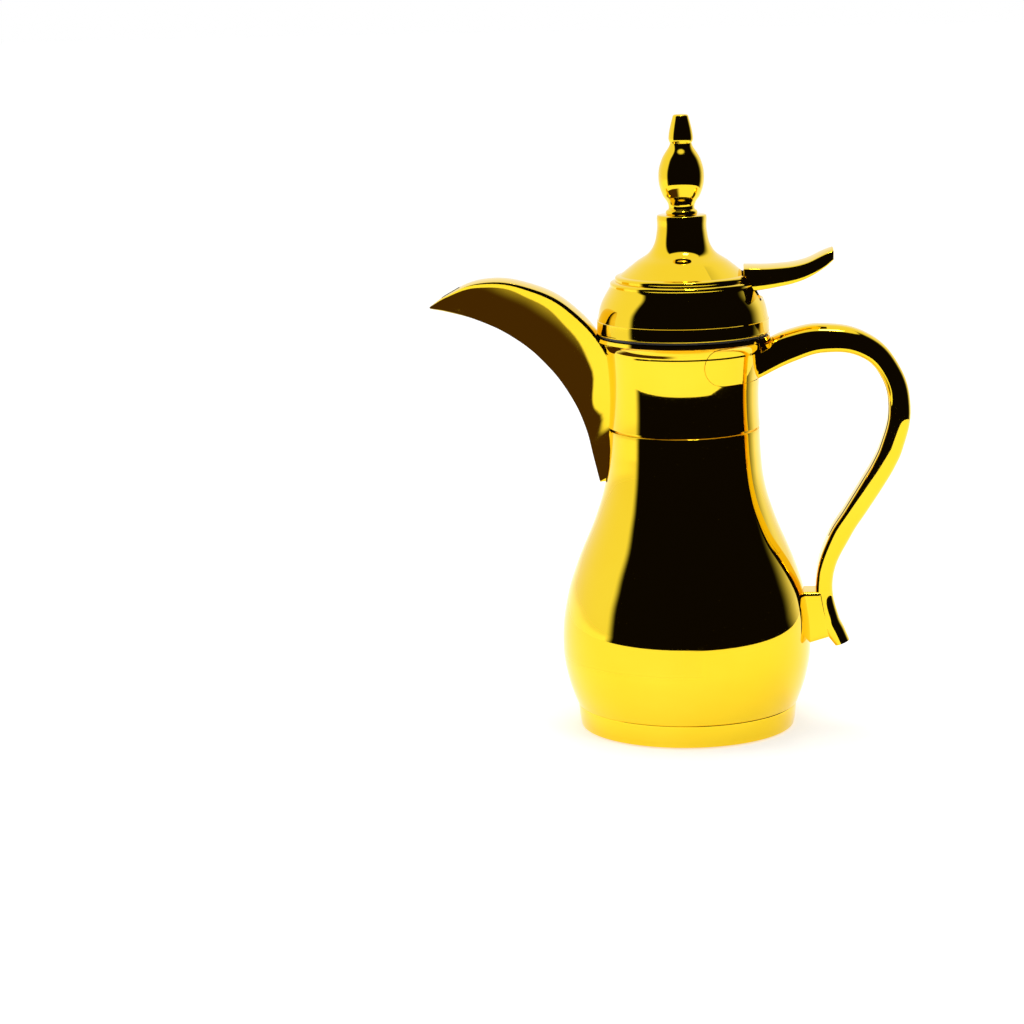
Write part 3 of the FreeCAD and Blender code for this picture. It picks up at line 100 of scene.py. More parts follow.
class Studio(PropertyGroup):
    """Floor, light, camera and the dark side of the room."""

    floor: FloatVectorProperty(
        name="Floor", description="Colour of the pale floor", subtype="COLOR", min=0, max=1,
        default=(0.86, 0.86, 0.86))
    dark: FloatVectorProperty(
        name="Dark room", description="Colour of the unlit side of the room that the metal mirrors",
        subtype="COLOR", min=0, max=1, default=(0.004, 0.003, 0.003))
    brown: FloatVectorProperty(
        name="Brown mat", description="Colour of the mat that the spout's flank mirrors",
        subtype="COLOR", min=0, max=1, default=(0.06, 0.03, 0.012))
    lift: FloatProperty(
        name="Floor lift", description="How far the floor is lifted towards white",
        min=0, max=1, default=0.42)
    fill: FloatProperty(
        name="Fill", description="Strength of the light from all round", min=0, max=2, default=0.68)
    key: FloatProperty(
        name="Key light", description="Power of a full soft box in watts", min=0, max=200, default=4.0)
    camera_distance: FloatProperty(
        name="Camera distance", description="From the pot's axis", unit="LENGTH", default=1.282)
    camera_height: FloatProperty(
        name="Camera height", description="Above the floor", unit="LENGTH", default=0.341)
    camera_lens: FloatProperty(
        name="Lens", description="Focal length in millimetres", min=10, max=300, default=113.5)


# Meshes
def curve_through(corners, steps, sharp=()):
    """Points along a line through the corners, smooth except at those numbered in sharp."""
    curve = bpy.data.curves.new("guide", "CURVE")
    curve.dimensions = "3D"
    curve.resolution_u = steps
    spline = curve.splines.new("BEZIER")
    spline.bezier_points.add(len(corners) - 1)
    for number, (knot, corner) in enumerate(zip(spline.bezier_points, corners)):
        knot.co = corner
        knot.handle_left_type = "VECTOR" if number in sharp else "AUTO"
        knot.handle_right_type = knot.handle_left_type
    guide = bpy.data.objects.new("guide", curve)
    bpy.context.scene.collection.objects.link(guide)
    bpy.context.view_layer.update()
    line = bpy.data.meshes.new_from_object(guide.evaluated_get(bpy.context.evaluated_depsgraph_get()))
    points = [vertex.co.copy() for vertex in line.vertices]
    bpy.data.meshes.remove(line)
    bpy.data.objects.remove(guide)
    bpy.data.curves.remove(curve)
    return points


def outline(corners, steps):
    """An outline of (radius, height) corners in millimetres, where a third entry marks a sharp corner."""
    sharp = [number for number, corner in enumerate(corners) if len(corner) > 2]
    return curve_through([(corner[0] * MM, 0, corner[1] * MM) for corner in corners], steps, sharp)


def add_line(bm, points, closed=False):
    """Vertices and edges along points."""
    verts = [bm.verts.new(point) for point in points]
    edges = [bm.edges.new(pair) for pair in zip(verts, verts[1:])]
    if closed:
        edges.append(bm.edges.new((verts[-1], verts[0])))
    return verts, edges


def spin(bm, geom, angle, steps, rise=0.0, merge=False):
    """Spins vertices and edges about the pot's axis, with a rise at each step."""
    bmesh.ops.spin(bm, geom=geom, cent=(0, 0, 0), axis=(0, 0, 1), dvec=(0, 0, rise), angle=angle,
                   steps=steps, use_merge=merge, use_normal_flip=False, use_duplicate=False)


def spin_line(bm, points, steps, closed=False):
    """Turns a line of points about the pot's axis into a skin."""
    verts, edges = add_line(bm, points, closed)
    spin(bm, verts + edges, 2 * math.pi, steps, merge=True)
    bmesh.ops.remove_doubles(bm, verts=bm.verts, dist=MERGE)
    bmesh.ops.dissolve_degenerate(bm, edges=bm.edges, dist=MERGE)
    bmesh.ops.recalc_face_normals(bm, faces=bm.faces)


def loft_rings(bm, rings):
    """Bridges closed rings of points one after another and closes both ends."""
    loops = [add_line(bm, ring, closed=True)[1] for ring in rings]
    for first, second in zip(loops, loops[1:]):
        bmesh.ops.bridge_loops(bm, edges=first + second)
    for loop in (loops[0], loops[-1]):
        bmesh.ops.contextual_create(bm, geom=loop)
    bmesh.ops.recalc_face_normals(bm, faces=bm.faces)


def round_ridges(bm, width):
    """Rounds the sharp edges of a skin."""
    ridges = [edge for edge in bm.edges
              if len(edge.link_faces) == 2 and edge.calc_face_angle() > SHARP_ANGLE]
    bmesh.ops.bevel(bm, geom=ridges, offset=width, offset_type="OFFSET", affect="EDGES",
                    segments=RIDGE_STEPS, profile=RIDGE_PROFILE, clamp_overlap=True, material=-1)


def in_box(point, low, high):
    """Whether a point lies within a box."""
    return all(low[axis] < point[axis] < high[axis] for axis in range(3))


def cut_window(bm, low, high):
    """Cuts a skin along the sides of a box and returns the faces within it."""
    reach = (high - low) * CUT_REACH
    nearby = [face for face in bm.faces if in_box(face.calc_center_median(), low - reach, high + reach)]
    parts = list({part for face in nearby for part in (*face.verts, *face.edges, face)})
    for normal in (Vector((1, 0, 0)), Vector((0, 1, 0)), Vector((0, 0, 1))):
        for side in (low, high):
            cut = bmesh.ops.bisect_plane(bm, geom=parts, dist=MERGE, plane_co=side, plane_no=normal)
            parts = cut["geom"]
    faces = [part for part in parts if isinstance(part, bmesh.types.BMFace)]
    return [face for face in faces if in_box(face.calc_center_median(), low, high)]


def finish_piece(name, bm, body, material, nodes):
    """Makes a smooth-shaded piece that rides on a body and stands for CAD nodes."""
    mesh = bpy.data.meshes.new(name)
    bm.to_mesh(mesh)
    bm.free()
    mesh.polygons.foreach_set("use_smooth", [True] * len(mesh.polygons))
    mesh.set_sharp_from_angle(angle=SHARP_ANGLE)
    piece = bpy.data.objects.new(name, mesh)
    bpy.context.scene.collection.objects.link(piece)
    mesh.materials.append(material)
    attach(piece, body)
    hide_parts(*nodes)
    return piece


# Materials
def new_material(name):
    """An empty node material with its output, its main shader and Object coordinates."""
    material = bpy.data.materials.new(name)
    material.use_nodes = True
    nodes, links = material.node_tree.nodes, material.node_tree.links
    nodes.clear()
    output = nodes.new("ShaderNodeOutputMaterial")
    shader = nodes.new("ShaderNodeBsdfPrincipled")
    links.new(shader.outputs["BSDF"], output.inputs["Surface"])
    place = nodes.new("ShaderNodeTexCoord")
    return material, shader, place.outputs["Object"]


def add_noise(material, place, scale, detail=3.0, stretch=None):
    """A noise value over the surface, stretched along an axis if asked."""
    nodes, links = material.node_tree.nodes, material.node_tree.links
    noise = nodes.new("ShaderNodeTexNoise")
    noise.inputs["Scale"].default_value = scale
    noise.inputs["Detail"].default_value = detail
    if stretch:
        mapping = nodes.new("ShaderNodeMapping")
        mapping.inputs["Scale"].default_value = stretch
        links.new(place, mapping.inputs["Vector"])
        place = mapping.outputs["Vector"]
    links.new(place, noise.inputs["Vector"])
    return noise.outputs["Fac"]


def add_range(material, value, low, high, start=0.3, end=0.7):
    """Maps a value to a range."""
    ramp = material.node_tree.nodes.new("ShaderNodeMapRange")
    ramp.inputs["From Min"].default_value = start
    ramp.inputs["From Max"].default_value = end
    ramp.inputs["To Min"].default_value = low
    ramp.inputs["To Max"].default_value = high
    material.node_tree.links.new(value, ramp.inputs["Value"])
    return ramp.outputs["Result"]


def add_mix(material, value, first, second):
    """Blends two colours by a value."""
    mix = material.node_tree.nodes.new("ShaderNodeMix")
    mix.data_type = "RGBA"
    mix.inputs["A"].default_value = (*first, 1)
    mix.inputs["B"].default_value = (*second, 1)
    material.node_tree.links.new(value, mix.inputs["Factor"])
    return mix.outputs["Result"]


def add_bump(material, shader, value, strength, distance):
    """Raises the surface by a value."""
    bump = material.node_tree.nodes.new("ShaderNodeBump")
    bump.inputs["Strength"].default_value = strength
    bump.inputs["Distance"].default_value = distance
    material.node_tree.links.new(value, bump.inputs["Height"])
    material.node_tree.links.new(bump.outputs["Normal"], shader.inputs["Normal"])


# Scale and detail of the gold's clouds, wipe marks and waves
CLOUD_SCALE = 18.0
WIPE_SCALE = 60.0
WIPE_DETAIL = 6.0
RIPPLE_SCALE = 34.0
RIPPLE_DETAIL = 1.0
# How the wipe marks are drawn out along the axes, the noise over which they set in, and the waves' height
WIPE_STRETCH = (0.35, 0.35, 1.6)
WIPE_ONSET = (0.52, 0.78)
RIPPLE_HEIGHT = 0.4 * MM
# Detail and height of the fine grain of the other finishes
GRAIN_DETAIL = 4.0
GRAIN_HEIGHT = 0.05 * MM


def gold_plate():
    """Mirror gold with faint clouds, wipe marks and waviness."""
    known = bpy.data.materials.get("mirror_gold")
    if known:
        return known
    gold = bpy.context.scene.dallah_gold
    material, shader, place = new_material("mirror_gold")
    links = material.node_tree.links
    shader.inputs["Metallic"].default_value = 1.0
    clouds = add_range(material, add_noise(material, place, CLOUD_SCALE), 0.0, 1.0)
    links.new(add_mix(material, clouds, gold.bright, gold.deep), shader.inputs["Base Color"])
    wipes = add_noise(material, place, WIPE_SCALE, WIPE_DETAIL, WIPE_STRETCH)
    links.new(add_range(material, wipes, gold.polish, gold.smear, *WIPE_ONSET), shader.inputs["Roughness"])
    waves = add_noise(material, place, RIPPLE_SCALE, RIPPLE_DETAIL)
    add_bump(material, shader, waves, gold.ripple, RIPPLE_HEIGHT)
    return material


def speckled(name, dark, light, rough, scale, bump=0.08, metallic=0.0, gloss=0.5):
    """A plain finish with a fine grain: rubber, moulded plastic, glass or steel."""
    known = bpy.data.materials.get(name)
    if known:
        return known
    material, shader, place = new_material(name)
    links = material.node_tree.links
    grain = add_noise(material, place, scale, GRAIN_DETAIL)
    shader.inputs["Metallic"].default_value = metallic
    shader.inputs["Specular IOR Level"].default_value = gloss
    tone = add_range(material, grain, 0.0, 1.0)
    links.new(add_mix(material, tone, dark, light), shader.inputs["Base Color"])
    links.new(add_range(material, grain, *rough), shader.inputs["Roughness"])
    add_bump(material, shader, grain, bump, GRAIN_HEIGHT)
    return material


# Pieces that keep their CAD shape
def dress(material, *names):
    """Gives CAD nodes a finish."""
    for name in names:
        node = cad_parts[name]
        node.data.materials.clear()
        node.data.materials.append(material)


# Finishes of the inner parts, with the colours and roughness that the grain goes between, and their nodes
FINISHES = {
    "black_rubber": dict(
        dark=(0.012, 0.012, 0.012), light=(0.03, 0.03, 0.03), rough=(0.6, 0.8), scale=900.0),
    "silicone": dict(
        dark=(0.7, 0.69, 0.66), light=(0.8, 0.79, 0.76), rough=(0.3, 0.45), scale=500.0),
    "black_plastic": dict(
        dark=(0.006, 0.006, 0.006), light=(0.015, 0.015, 0.015), rough=(0.25, 0.4), scale=700.0,
        gloss=0.15),
    "plain_steel": dict(
        dark=(0.5, 0.5, 0.51), light=(0.62, 0.62, 0.62), rough=(0.22, 0.38), scale=400.0,
        bump=0.05, metallic=1.0),
    "silvered_glass": dict(
        dark=(0.86, 0.87, 0.88), light=(0.93, 0.93, 0.93), rough=(0.03, 0.07), scale=40.0,
        bump=0.01, metallic=1.0),
}
DRESSED = {
    "black_rubber": ["base_pad", "liner_cushion"],
    "silicone": ["mouth_gasket", "stopper_gasket", "valve_plug"],
    "black_plastic": ["inner_neck", "stopper"],
    "plain_steel": [
        "handle_screws", "valve_rod", "finial_screw", "lever_bracket", "lever_pin", "lever_screws"],
    "silvered_glass": ["glass_liner"],
}
# The valve's spring in millimetres: its radius, its wire, and the wire's lowest and highest middle
COIL_RADIUS = 5.5
COIL_WIRE = 0.9
COIL_RISE = (188.6, 205.2)
# Its turns, and steps round a turn and the wire
COIL_TURNS = 6
COIL_STEPS = 24
WIRE_STEPS = 12


class DALLAH_OT_inner_parts(Operator):
    """Finishes the pieces inside the pot and under it, and winds the valve's spring"""

    bl_idname = "dallah.inner_parts"
    bl_label = "Inner parts"

    def execute(self, context):
        for name, nodes in DRESSED.items():
            dress(speckled(name, **FINISHES[name]), *nodes)
        steel = bpy.data.materials["plain_steel"]
        start, end = COIL_RISE
        steps = COIL_TURNS * COIL_STEPS
        bm = bmesh.new()
        place = Matrix.Translation((COIL_RADIUS * MM, 0, start * MM)) @ Matrix.Rotation(math.pi / 2, 4, "X")
        bmesh.ops.create_circle(bm, segments=WIRE_STEPS, radius=COIL_WIRE / 2 * MM, matrix=place)
        rise = (end - start) * MM / steps
        spin(bm, bm.verts[:] + bm.edges[:], 2 * math.pi * COIL_TURNS, steps, rise)
        bmesh.ops.holes_fill(bm, edges=[edge for edge in bm.edges if edge.is_boundary])
        bmesh.ops.recalc_face_normals(bm, faces=bm.faces)
        coil = finish_piece("coil", bm, "lid", steel, ["valve_spring"])
        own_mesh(coil)
        return {"FINISHED"}


# Turned pieces: (radius, height) corners in millimetres, with a third entry at a sharp corner
SHARP = True
FOOT = [
    (0.0, 2.2, SHARP), (38.2, 2.2, SHARP), (38.2, 0.6, SHARP), (42.6, 0.6, SHARP), (43.3, 0.8), (43.55, 1.4),
    (44.4, 9.5), (44.2, 10.0, SHARP), (43.3, 10.0, SHARP), (43.3, 16.0, SHARP), (41.1, 16.0, SHARP),
    (41.1, 4.4, SHARP), (0.0, 4.4, SHARP),
]
SHELL = [
    (44.4, 10.0, SHARP), (44.8, 10.1), (45.0, 10.5), (48.4, 20.5), (50.3, 34.0), (48.35, 53.0), (44.3, 66.5),
    (35.6, 88.0), (32.05, 100.5), (30.75, 112.0), (30.5, 117.0), (30.3, 121.9), (30.15, 122.3),
    (29.8, 122.4, SHARP),
]
DOME = [
    (34.2, 161.2, SHARP), (34.45, 161.3), (34.55, 161.6), (34.4, 162.0, SHARP), (34.4, 166.4, SHARP),
    (34.15, 166.55, SHARP), (32.7, 172.8), (28.9, 179.9, SHARP), (28.8, 181.35), (27.3, 182.1, SHARP),
    (26.9, 182.1, SHARP), (26.8, 183.55), (25.3, 184.3, SHARP), (24.9, 184.3, SHARP), (18.5, 189.4),
    (12.4, 194.1), (9.95, 202.0), (9.9, 207.2), (9.7, 207.8), (9.2, 208.0, SHARP), (2.0, 208.0, SHARP),
]
FINIAL = [
    (0.0, 208.0, SHARP), (6.0, 208.0, SHARP), (6.35, 208.7), (6.1, 209.6), (5.25, 210.3), (5.15, 211.4),
    (5.5, 212.6), (7.6, 216.0), (9.1, 222.8), (7.8, 229.8), (4.5, 235.5), (4.3, 236.3, SHARP), (4.75, 237.2),
    (4.9, 238.4), (3.3, 246.2), (2.9, 247.25), (1.9, 247.6), (0.0, 247.6, SHARP),
]


def shifted(points, inset):
    """The same outline nearer the axis, in the other direction."""
    return [Vector((point.x - inset, 0, point.z)) for point in reversed(points)]


class DALLAH_OT_body(Operator):
    """Turns the foot and the pear-shaped shell, and finishes the collar and its handle plate"""

    bl_idname = "dallah.body"
    bl_label = "Body"

    def execute(self, context):
        shape, gold = context.scene.dallah_shape, gold_plate()
        bm = bmesh.new()
        spin_line(bm, outline(FOOT, shape.curve_steps), shape.round_steps)
        finish_piece("foot", bm, "pot", gold, ["base_cap"])
        bm = bmesh.new()
        side = outline(SHELL, shape.curve_steps)
        spin_line(bm, side + shifted(side, shape.wall), shape.round_steps, closed=True)
        finish_piece("shell", bm, "pot", gold, ["body_shell"])
        dress(gold, "neck_collar", "handle_plate")
        return {"FINISHED"}


# Low and high corners, in millimetres, of the window in the dome that the lever passes through
LEVER_WINDOW = (Vector((23.4, -9.5, 174.2)), Vector((36.0, 9.5, 190.0)))


class DALLAH_OT_lid(Operator):
    """Turns the dome with its beads and chimney, and the finial"""

    bl_idname = "dallah.lid"
    bl_label = "Lid"

    def execute(self, context):
        shape, gold = context.scene.dallah_shape, gold_plate()
        bm = bmesh.new()
        spin_line(bm, outline(DOME, shape.curve_steps), shape.round_steps)
        low, high = LEVER_WINDOW
        bmesh.ops.delete(bm, geom=cut_window(bm, low * MM, high * MM), context="FACES")
        bmesh.ops.solidify(bm, geom=bm.faces[:], thickness=shape.wall)
        finish_piece("dome", bm, "lid", gold, ["lid_dome"])
        bm = bmesh.new()
        spin_line(bm, outline(FINIAL, shape.curve_steps), shape.round_steps)
        finish_piece("knob", bm, "lid", gold, ["finial"])
        return {"FINISHED"}


# Spout sections from its tail to its tip, in millimetres: keel out and up, top out and up, half width
SPOUT = [
    (34.2, 100.4, 29.0, 101.4, 1.4), (36.6, 110.5, 28.5, 114.5, 3.8), (39.7, 123.0, 28.0, 133.0, 5.8),
    (45.6, 136.0, 30.0, 153.5, 7.2), (55.5, 149.2, 43.2, 171.6, 8.0), (67.5, 159.4, 60.6, 181.2, 8.2),
    (82.0, 166.8, 80.2, 183.3, 7.2), (94.6, 170.5, 94.2, 177.6, 4.2), (101.2, 171.8, 101.3, 172.6, 0.7),
]
# Height of the crown over its edges, as a share of the half width
SPOUT_CROWN = 0.09
# Middle of a flank: a share of the half width out, and a share of the way from keel to top
FLANK_WIDTH = 0.62
FLANK_RISE = 0.42
# Steps along a flank or round a corner of a section
SECTION_STEPS = 10
# Low and high corners of the mouth and the height of its floor, in millimetres
MOUTH_WINDOW = (Vector((-96.3, -2.1, 173.5)), Vector((-89.0, 2.1, 186.0)))
MOUTH_FLOOR = 173.6


def bow(start, middle, end, steps):
    """Points along a parabola through three places, without the last one."""
    pull = 2 * middle - (start + end) / 2
    shares = [step / steps for step in range(steps)]
    return [start * (1 - t) ** 2 + pull * 2 * t * (1 - t) + end * t ** 2 for t in shares]


def spout_ring(keel, top, half_width):
    """One section of the spout: two bowed flanks from the keel and a low crown."""
    rise = top - keel
    edge = rise * (1 - SPOUT_CROWN * half_width / rise.length)
    side = Vector((0, half_width, 0))
    flank = rise * FLANK_RISE
    ring = bow(keel, keel + flank + side * FLANK_WIDTH, keel + edge + side, SECTION_STEPS)
    ring += bow(keel + edge + side, top, keel + edge - side, 2 * SECTION_STEPS)
    ring += bow(keel + edge - side, keel + flank - side * FLANK_WIDTH, keel, SECTION_STEPS)
    return ring


class DALLAH_OT_spout(Operator):
    """Runs a smooth skin along the beak and sinks its mouth"""

    bl_idname = "dallah.spout"
    bl_label = "Spout"

    def execute(self, context):
        shape = context.scene.dallah_shape
        keels = curve_through([(-out * MM, 0, up * MM) for out, up, *_ in SPOUT], shape.curve_steps)
        tops = curve_through([(-row[2] * MM, row[4] * MM, row[3] * MM) for row in SPOUT], shape.curve_steps)
        rings = [spout_ring(keel, Vector((top.x, 0, top.z)), top.y) for keel, top in zip(keels, tops)]
        bm = bmesh.new()
        loft_rings(bm, rings)
        low, high = MOUTH_WINDOW
        mouth = [face for face in cut_window(bm, low * MM, high * MM) if face.normal.z > 0]
        walls = bmesh.ops.extrude_face_region(bm, geom=mouth)
        sunk = [part for part in walls["geom"] if isinstance(part, bmesh.types.BMVert)]
        bmesh.ops.scale(bm, verts=sunk, vec=(1, 1, 0), space=Matrix.Translation((0, 0, -MOUTH_FLOOR * MM)))
        bmesh.ops.delete(bm, geom=[face for face in mouth if face.is_valid], context="FACES")
        bmesh.ops.recalc_face_normals(bm, faces=bm.faces)
        round_ridges(bm, shape.edge_round)
        finish_piece("beak", bm, "pot", gold_plate(), ["spout"])
        return {"FINISHED"}


# Handle corners from the collar to its foot, in millimetres: outer edge out and up, inner edge out and up
HANDLE = [
    (30.0, 156.2, 29.0, 142.0), (43.0, 161.6, 44.0, 149.1), (55.5, 163.5, 56.5, 152.5),
    (73.8, 159.2, 71.6, 150.0), (85.2, 147.8, 78.6, 142.6), (90.5, 130.0, 81.8, 130.0),
    (87.4, 112.6, 78.6, 114.6), (84.2, 105.2, 75.3, 107.2), (80.0, 98.0, 71.2, 100.2),
    (73.4, 87.8, 64.4, 89.0), (66.8, 77.6, 57.6, 77.8), (59.4, 60.0, 52.4, 60.0),
    (61.7, 44.2, 53.9, 44.2), (63.9, 39.4, 56.4, 37.8), (65.9, 34.6, 60.0, 32.8),
]
# Half width of the handle and the rounding of its edges
HANDLE_HALF_WIDTH = 6.75
HANDLE_OUTER_ROUND = 5.0
HANDLE_INNER_ROUND = 1.8
# The strip on the inner edge: the handle corners it runs between, its half width, how far it stands out of
# the edge and reaches into it, and its rounding
STRIP_CORNERS = (2, 10)
STRIP_HALF_WIDTH = 3.6
STRIP_PROUD = 0.25
STRIP_DEPTH = 1.0
STRIP_ROUND = 0.2


def bar_ring(inner, outer, half_width, inner_round, outer_round):
    """A rectangle with rounded corners between two points on the plane of spout and handle."""
    along = (outer - inner).normalized()
    side = Vector((0, 1, 0))
    outer_pair = outer - along * outer_round, outer_round
    inner_pair = inner + along * inner_round, inner_round
    corners = (*outer_pair, 1), (*inner_pair, 1), (*inner_pair, -1), (*outer_pair, -1)
    ring = []
    for quarter, (middle, rounding, way) in enumerate(corners):
        centre = middle + side * way * (half_width - rounding)
        for step in range(SECTION_STEPS + 1):
            angle = (quarter + step / SECTION_STEPS) * math.pi / 2
            ring.append(centre + (along * math.cos(angle) + side * math.sin(angle)) * rounding)
    return ring


class DALLAH_OT_handle(Operator):
    """Runs a rounded bar along the loop, lays the strip on its inner edge and finishes the lower bracket"""

    bl_idname = "dallah.handle"
    bl_label = "Handle"

    def execute(self, context):
        steps, gold = context.scene.dallah_shape.curve_steps, gold_plate()
        outer = curve_through([(row[0] * MM, 0, row[1] * MM) for row in HANDLE], steps)
        inner = curve_through([(row[2] * MM, 0, row[3] * MM) for row in HANDLE], steps)
        bm = bmesh.new()
        section = HANDLE_HALF_WIDTH * MM, HANDLE_INNER_ROUND * MM, HANDLE_OUTER_ROUND * MM
        loft_rings(bm, [bar_ring(low, high, *section) for low, high in zip(inner, outer)])
        finish_piece("loop", bm, "pot", gold, ["handle"])
        first, last = STRIP_CORNERS
        run = slice(first * steps, last * steps + 1)
        rings = []
        for low, high in zip(inner[run], outer[run]):
            along = (high - low).normalized()
            rings.append(bar_ring(low - along * STRIP_PROUD * MM, low + along * STRIP_DEPTH * MM,
                                  STRIP_HALF_WIDTH * MM, STRIP_ROUND * MM, STRIP_ROUND * MM))
        bm = bmesh.new()
        loft_rings(bm, rings)
        finish_piece("strip", bm, "pot", gold, ["handle_strip"])
        dress(gold, "handle_bracket")
        return {"FINISHED"}


# Lever sections from its root to its tip, in millimetres: out, underside up, side edge up, half width
LEVER = [
    (24.2, 177.6, 186.9, 9.0), (36.0, 179.2, 186.9, 9.0), (48.0, 182.2, 188.5, 8.8),
    (56.5, 187.0, 192.2, 8.3), (59.8, 189.6, 193.4, 7.2),
]
# Height of the crown over the side edges, and the rounding of all edges
LEVER_CROWN = 0.9
LEVER_ROUND = 0.5
# Side views in (out, up) of the lever's hub round its pin and of the prongs under the rod's collar, and the
# left and right sides of each
HUB = [
    (26.2, 179.5), (19.5, 176.1), (16.9, 177.1), (16.1, 179.5), (16.5, 183.0), (19.5, 182.9), (26.2, 181.3),
]
HUB_SIDES = (-5.0, 5.0)
PRONG = [
    (17.4, 179.5), (5.5, 181.0), (-5.5, 181.0), (-5.5, 184.2), (0.0, 185.6), (5.5, 184.2), (17.4, 182.7),
]
PRONG_SIDES = ((-4.9, -2.7), (2.7, 4.9))


def lever_ring(bottom, edge):
    """A section of the thumb plate with a flat underside and a crowned top."""
    side = Vector((0, edge.y, 0))
    top = Vector((edge.x, 0, edge.z))
    low = Vector((edge.x, 0, bottom.z))
    ring = [low - side, low, low + side]
    ring += bow(top + side, top + Vector((0, 0, LEVER_CROWN * MM)), top - side, 2 * SECTION_STEPS)
    return ring + [top - side]


def add_slab(bm, corners, left, right):
    """A flat piece with a side view in millimetres."""
    verts = [bm.verts.new((out * MM, left * MM, up * MM)) for out, up in corners]
    face = bm.faces.new(verts)
    walls = bmesh.ops.extrude_face_region(bm, geom=[face], use_keep_orig=True)
    moved = [part for part in walls["geom"] if isinstance(part, bmesh.types.BMVert)]
    bmesh.ops.translate(bm, verts=moved, vec=(0, (right - left) * MM, 0))


class DALLAH_OT_lever(Operator):
    """Shapes the thumb plate with rounded edges, and its arm and fork"""

    bl_idname = "dallah.lever"
    bl_label = "Lever"

    def execute(self, context):
        steps = context.scene.dallah_shape.curve_steps
        bottoms = curve_through([(row[0] * MM, 0, row[1] * MM) for row in LEVER], steps)
        edges = curve_through([(row[0] * MM, row[3] * MM, row[2] * MM) for row in LEVER], steps)
        bm = bmesh.new()
        loft_rings(bm, [lever_ring(bottom, edge) for bottom, edge in zip(bottoms, edges)])
        round_ridges(bm, LEVER_ROUND * MM)
        add_slab(bm, HUB, *HUB_SIDES)
        for sides in PRONG_SIDES:
            add_slab(bm, PRONG, *sides)
        bmesh.ops.recalc_face_normals(bm, faces=bm.faces)
        finish_piece("thumb_plate", bm, "lever", gold_plate(), ["thumb_lever"])
        return {"FINISHED"}


# Stage
def stage_piece(name, bm, material):
    """Makes an object that isn't part of the pot."""
    mesh = bpy.data.meshes.new(name)
    bm.to_mesh(mesh)
    bm.free()
    mesh.materials.append(material)
    thing = bpy.data.objects.new(name, mesh)
    bpy.context.scene.collection.objects.link(thing)
    return thing


def seen_directly(nodes, links):
    """One where the camera or a mirror looks, and nought for the light that falls on things."""
    path = nodes.new("ShaderNodeLightPath")
    seen = path.outputs["Is Camera Ray"]
    for ray in ("Is Glossy Ray", "Is Transmission Ray"):
        either = nodes.new("ShaderNodeMath")
        either.operation = "MAXIMUM"
        links.new(seen, either.inputs[0])
        links.new(path.outputs[ray], either.inputs[1])
        seen = either.outputs["Value"]
    return seen


# The floor's roughness, its gloss, the scale of its faint clouds and how much darker they are
FLOOR_ROUGH = 0.9
FLOOR_GLOSS = 0.1
FLOOR_CLOUD_SCALE = 3.0
FLOOR_CLOUD_SHADE = 0.985


def floor_finish(colour, lift):
    """A matt pale floor that looks white where no shadow falls."""
    material, shader, place = new_material("pale_floor")
    shader.inputs["Roughness"].default_value = FLOOR_ROUGH
    shader.inputs["Specular IOR Level"].default_value = FLOOR_GLOSS
    nodes, links = material.node_tree.nodes, material.node_tree.links
    tone = add_range(material, add_noise(material, place, FLOOR_CLOUD_SCALE), 0.0, 1.0)
    shade = [channel * FLOOR_CLOUD_SHADE for channel in colour]
    links.new(add_mix(material, tone, colour, shade), shader.inputs["Base Color"])
    shader.inputs["Emission Color"].default_value = (*WHITE, 1)
    glow = add_range(material, seen_directly(nodes, links), 0.0, lift)
    links.new(glow, shader.inputs["Emission Strength"])
    return material


def glow_finish(name, colour, strength):
    """An even glow."""
    material = bpy.data.materials.new(name)
    material.use_nodes = True
    nodes, links = material.node_tree.nodes, material.node_tree.links
    nodes.clear()
    output = nodes.new("ShaderNodeOutputMaterial")
    glow = nodes.new("ShaderNodeEmission")
    glow.inputs["Color"].default_value = (*colour, 1)
    glow.inputs["Strength"].default_value = strength
    links.new(glow.outputs["Emission"], output.inputs["Surface"])
    return material


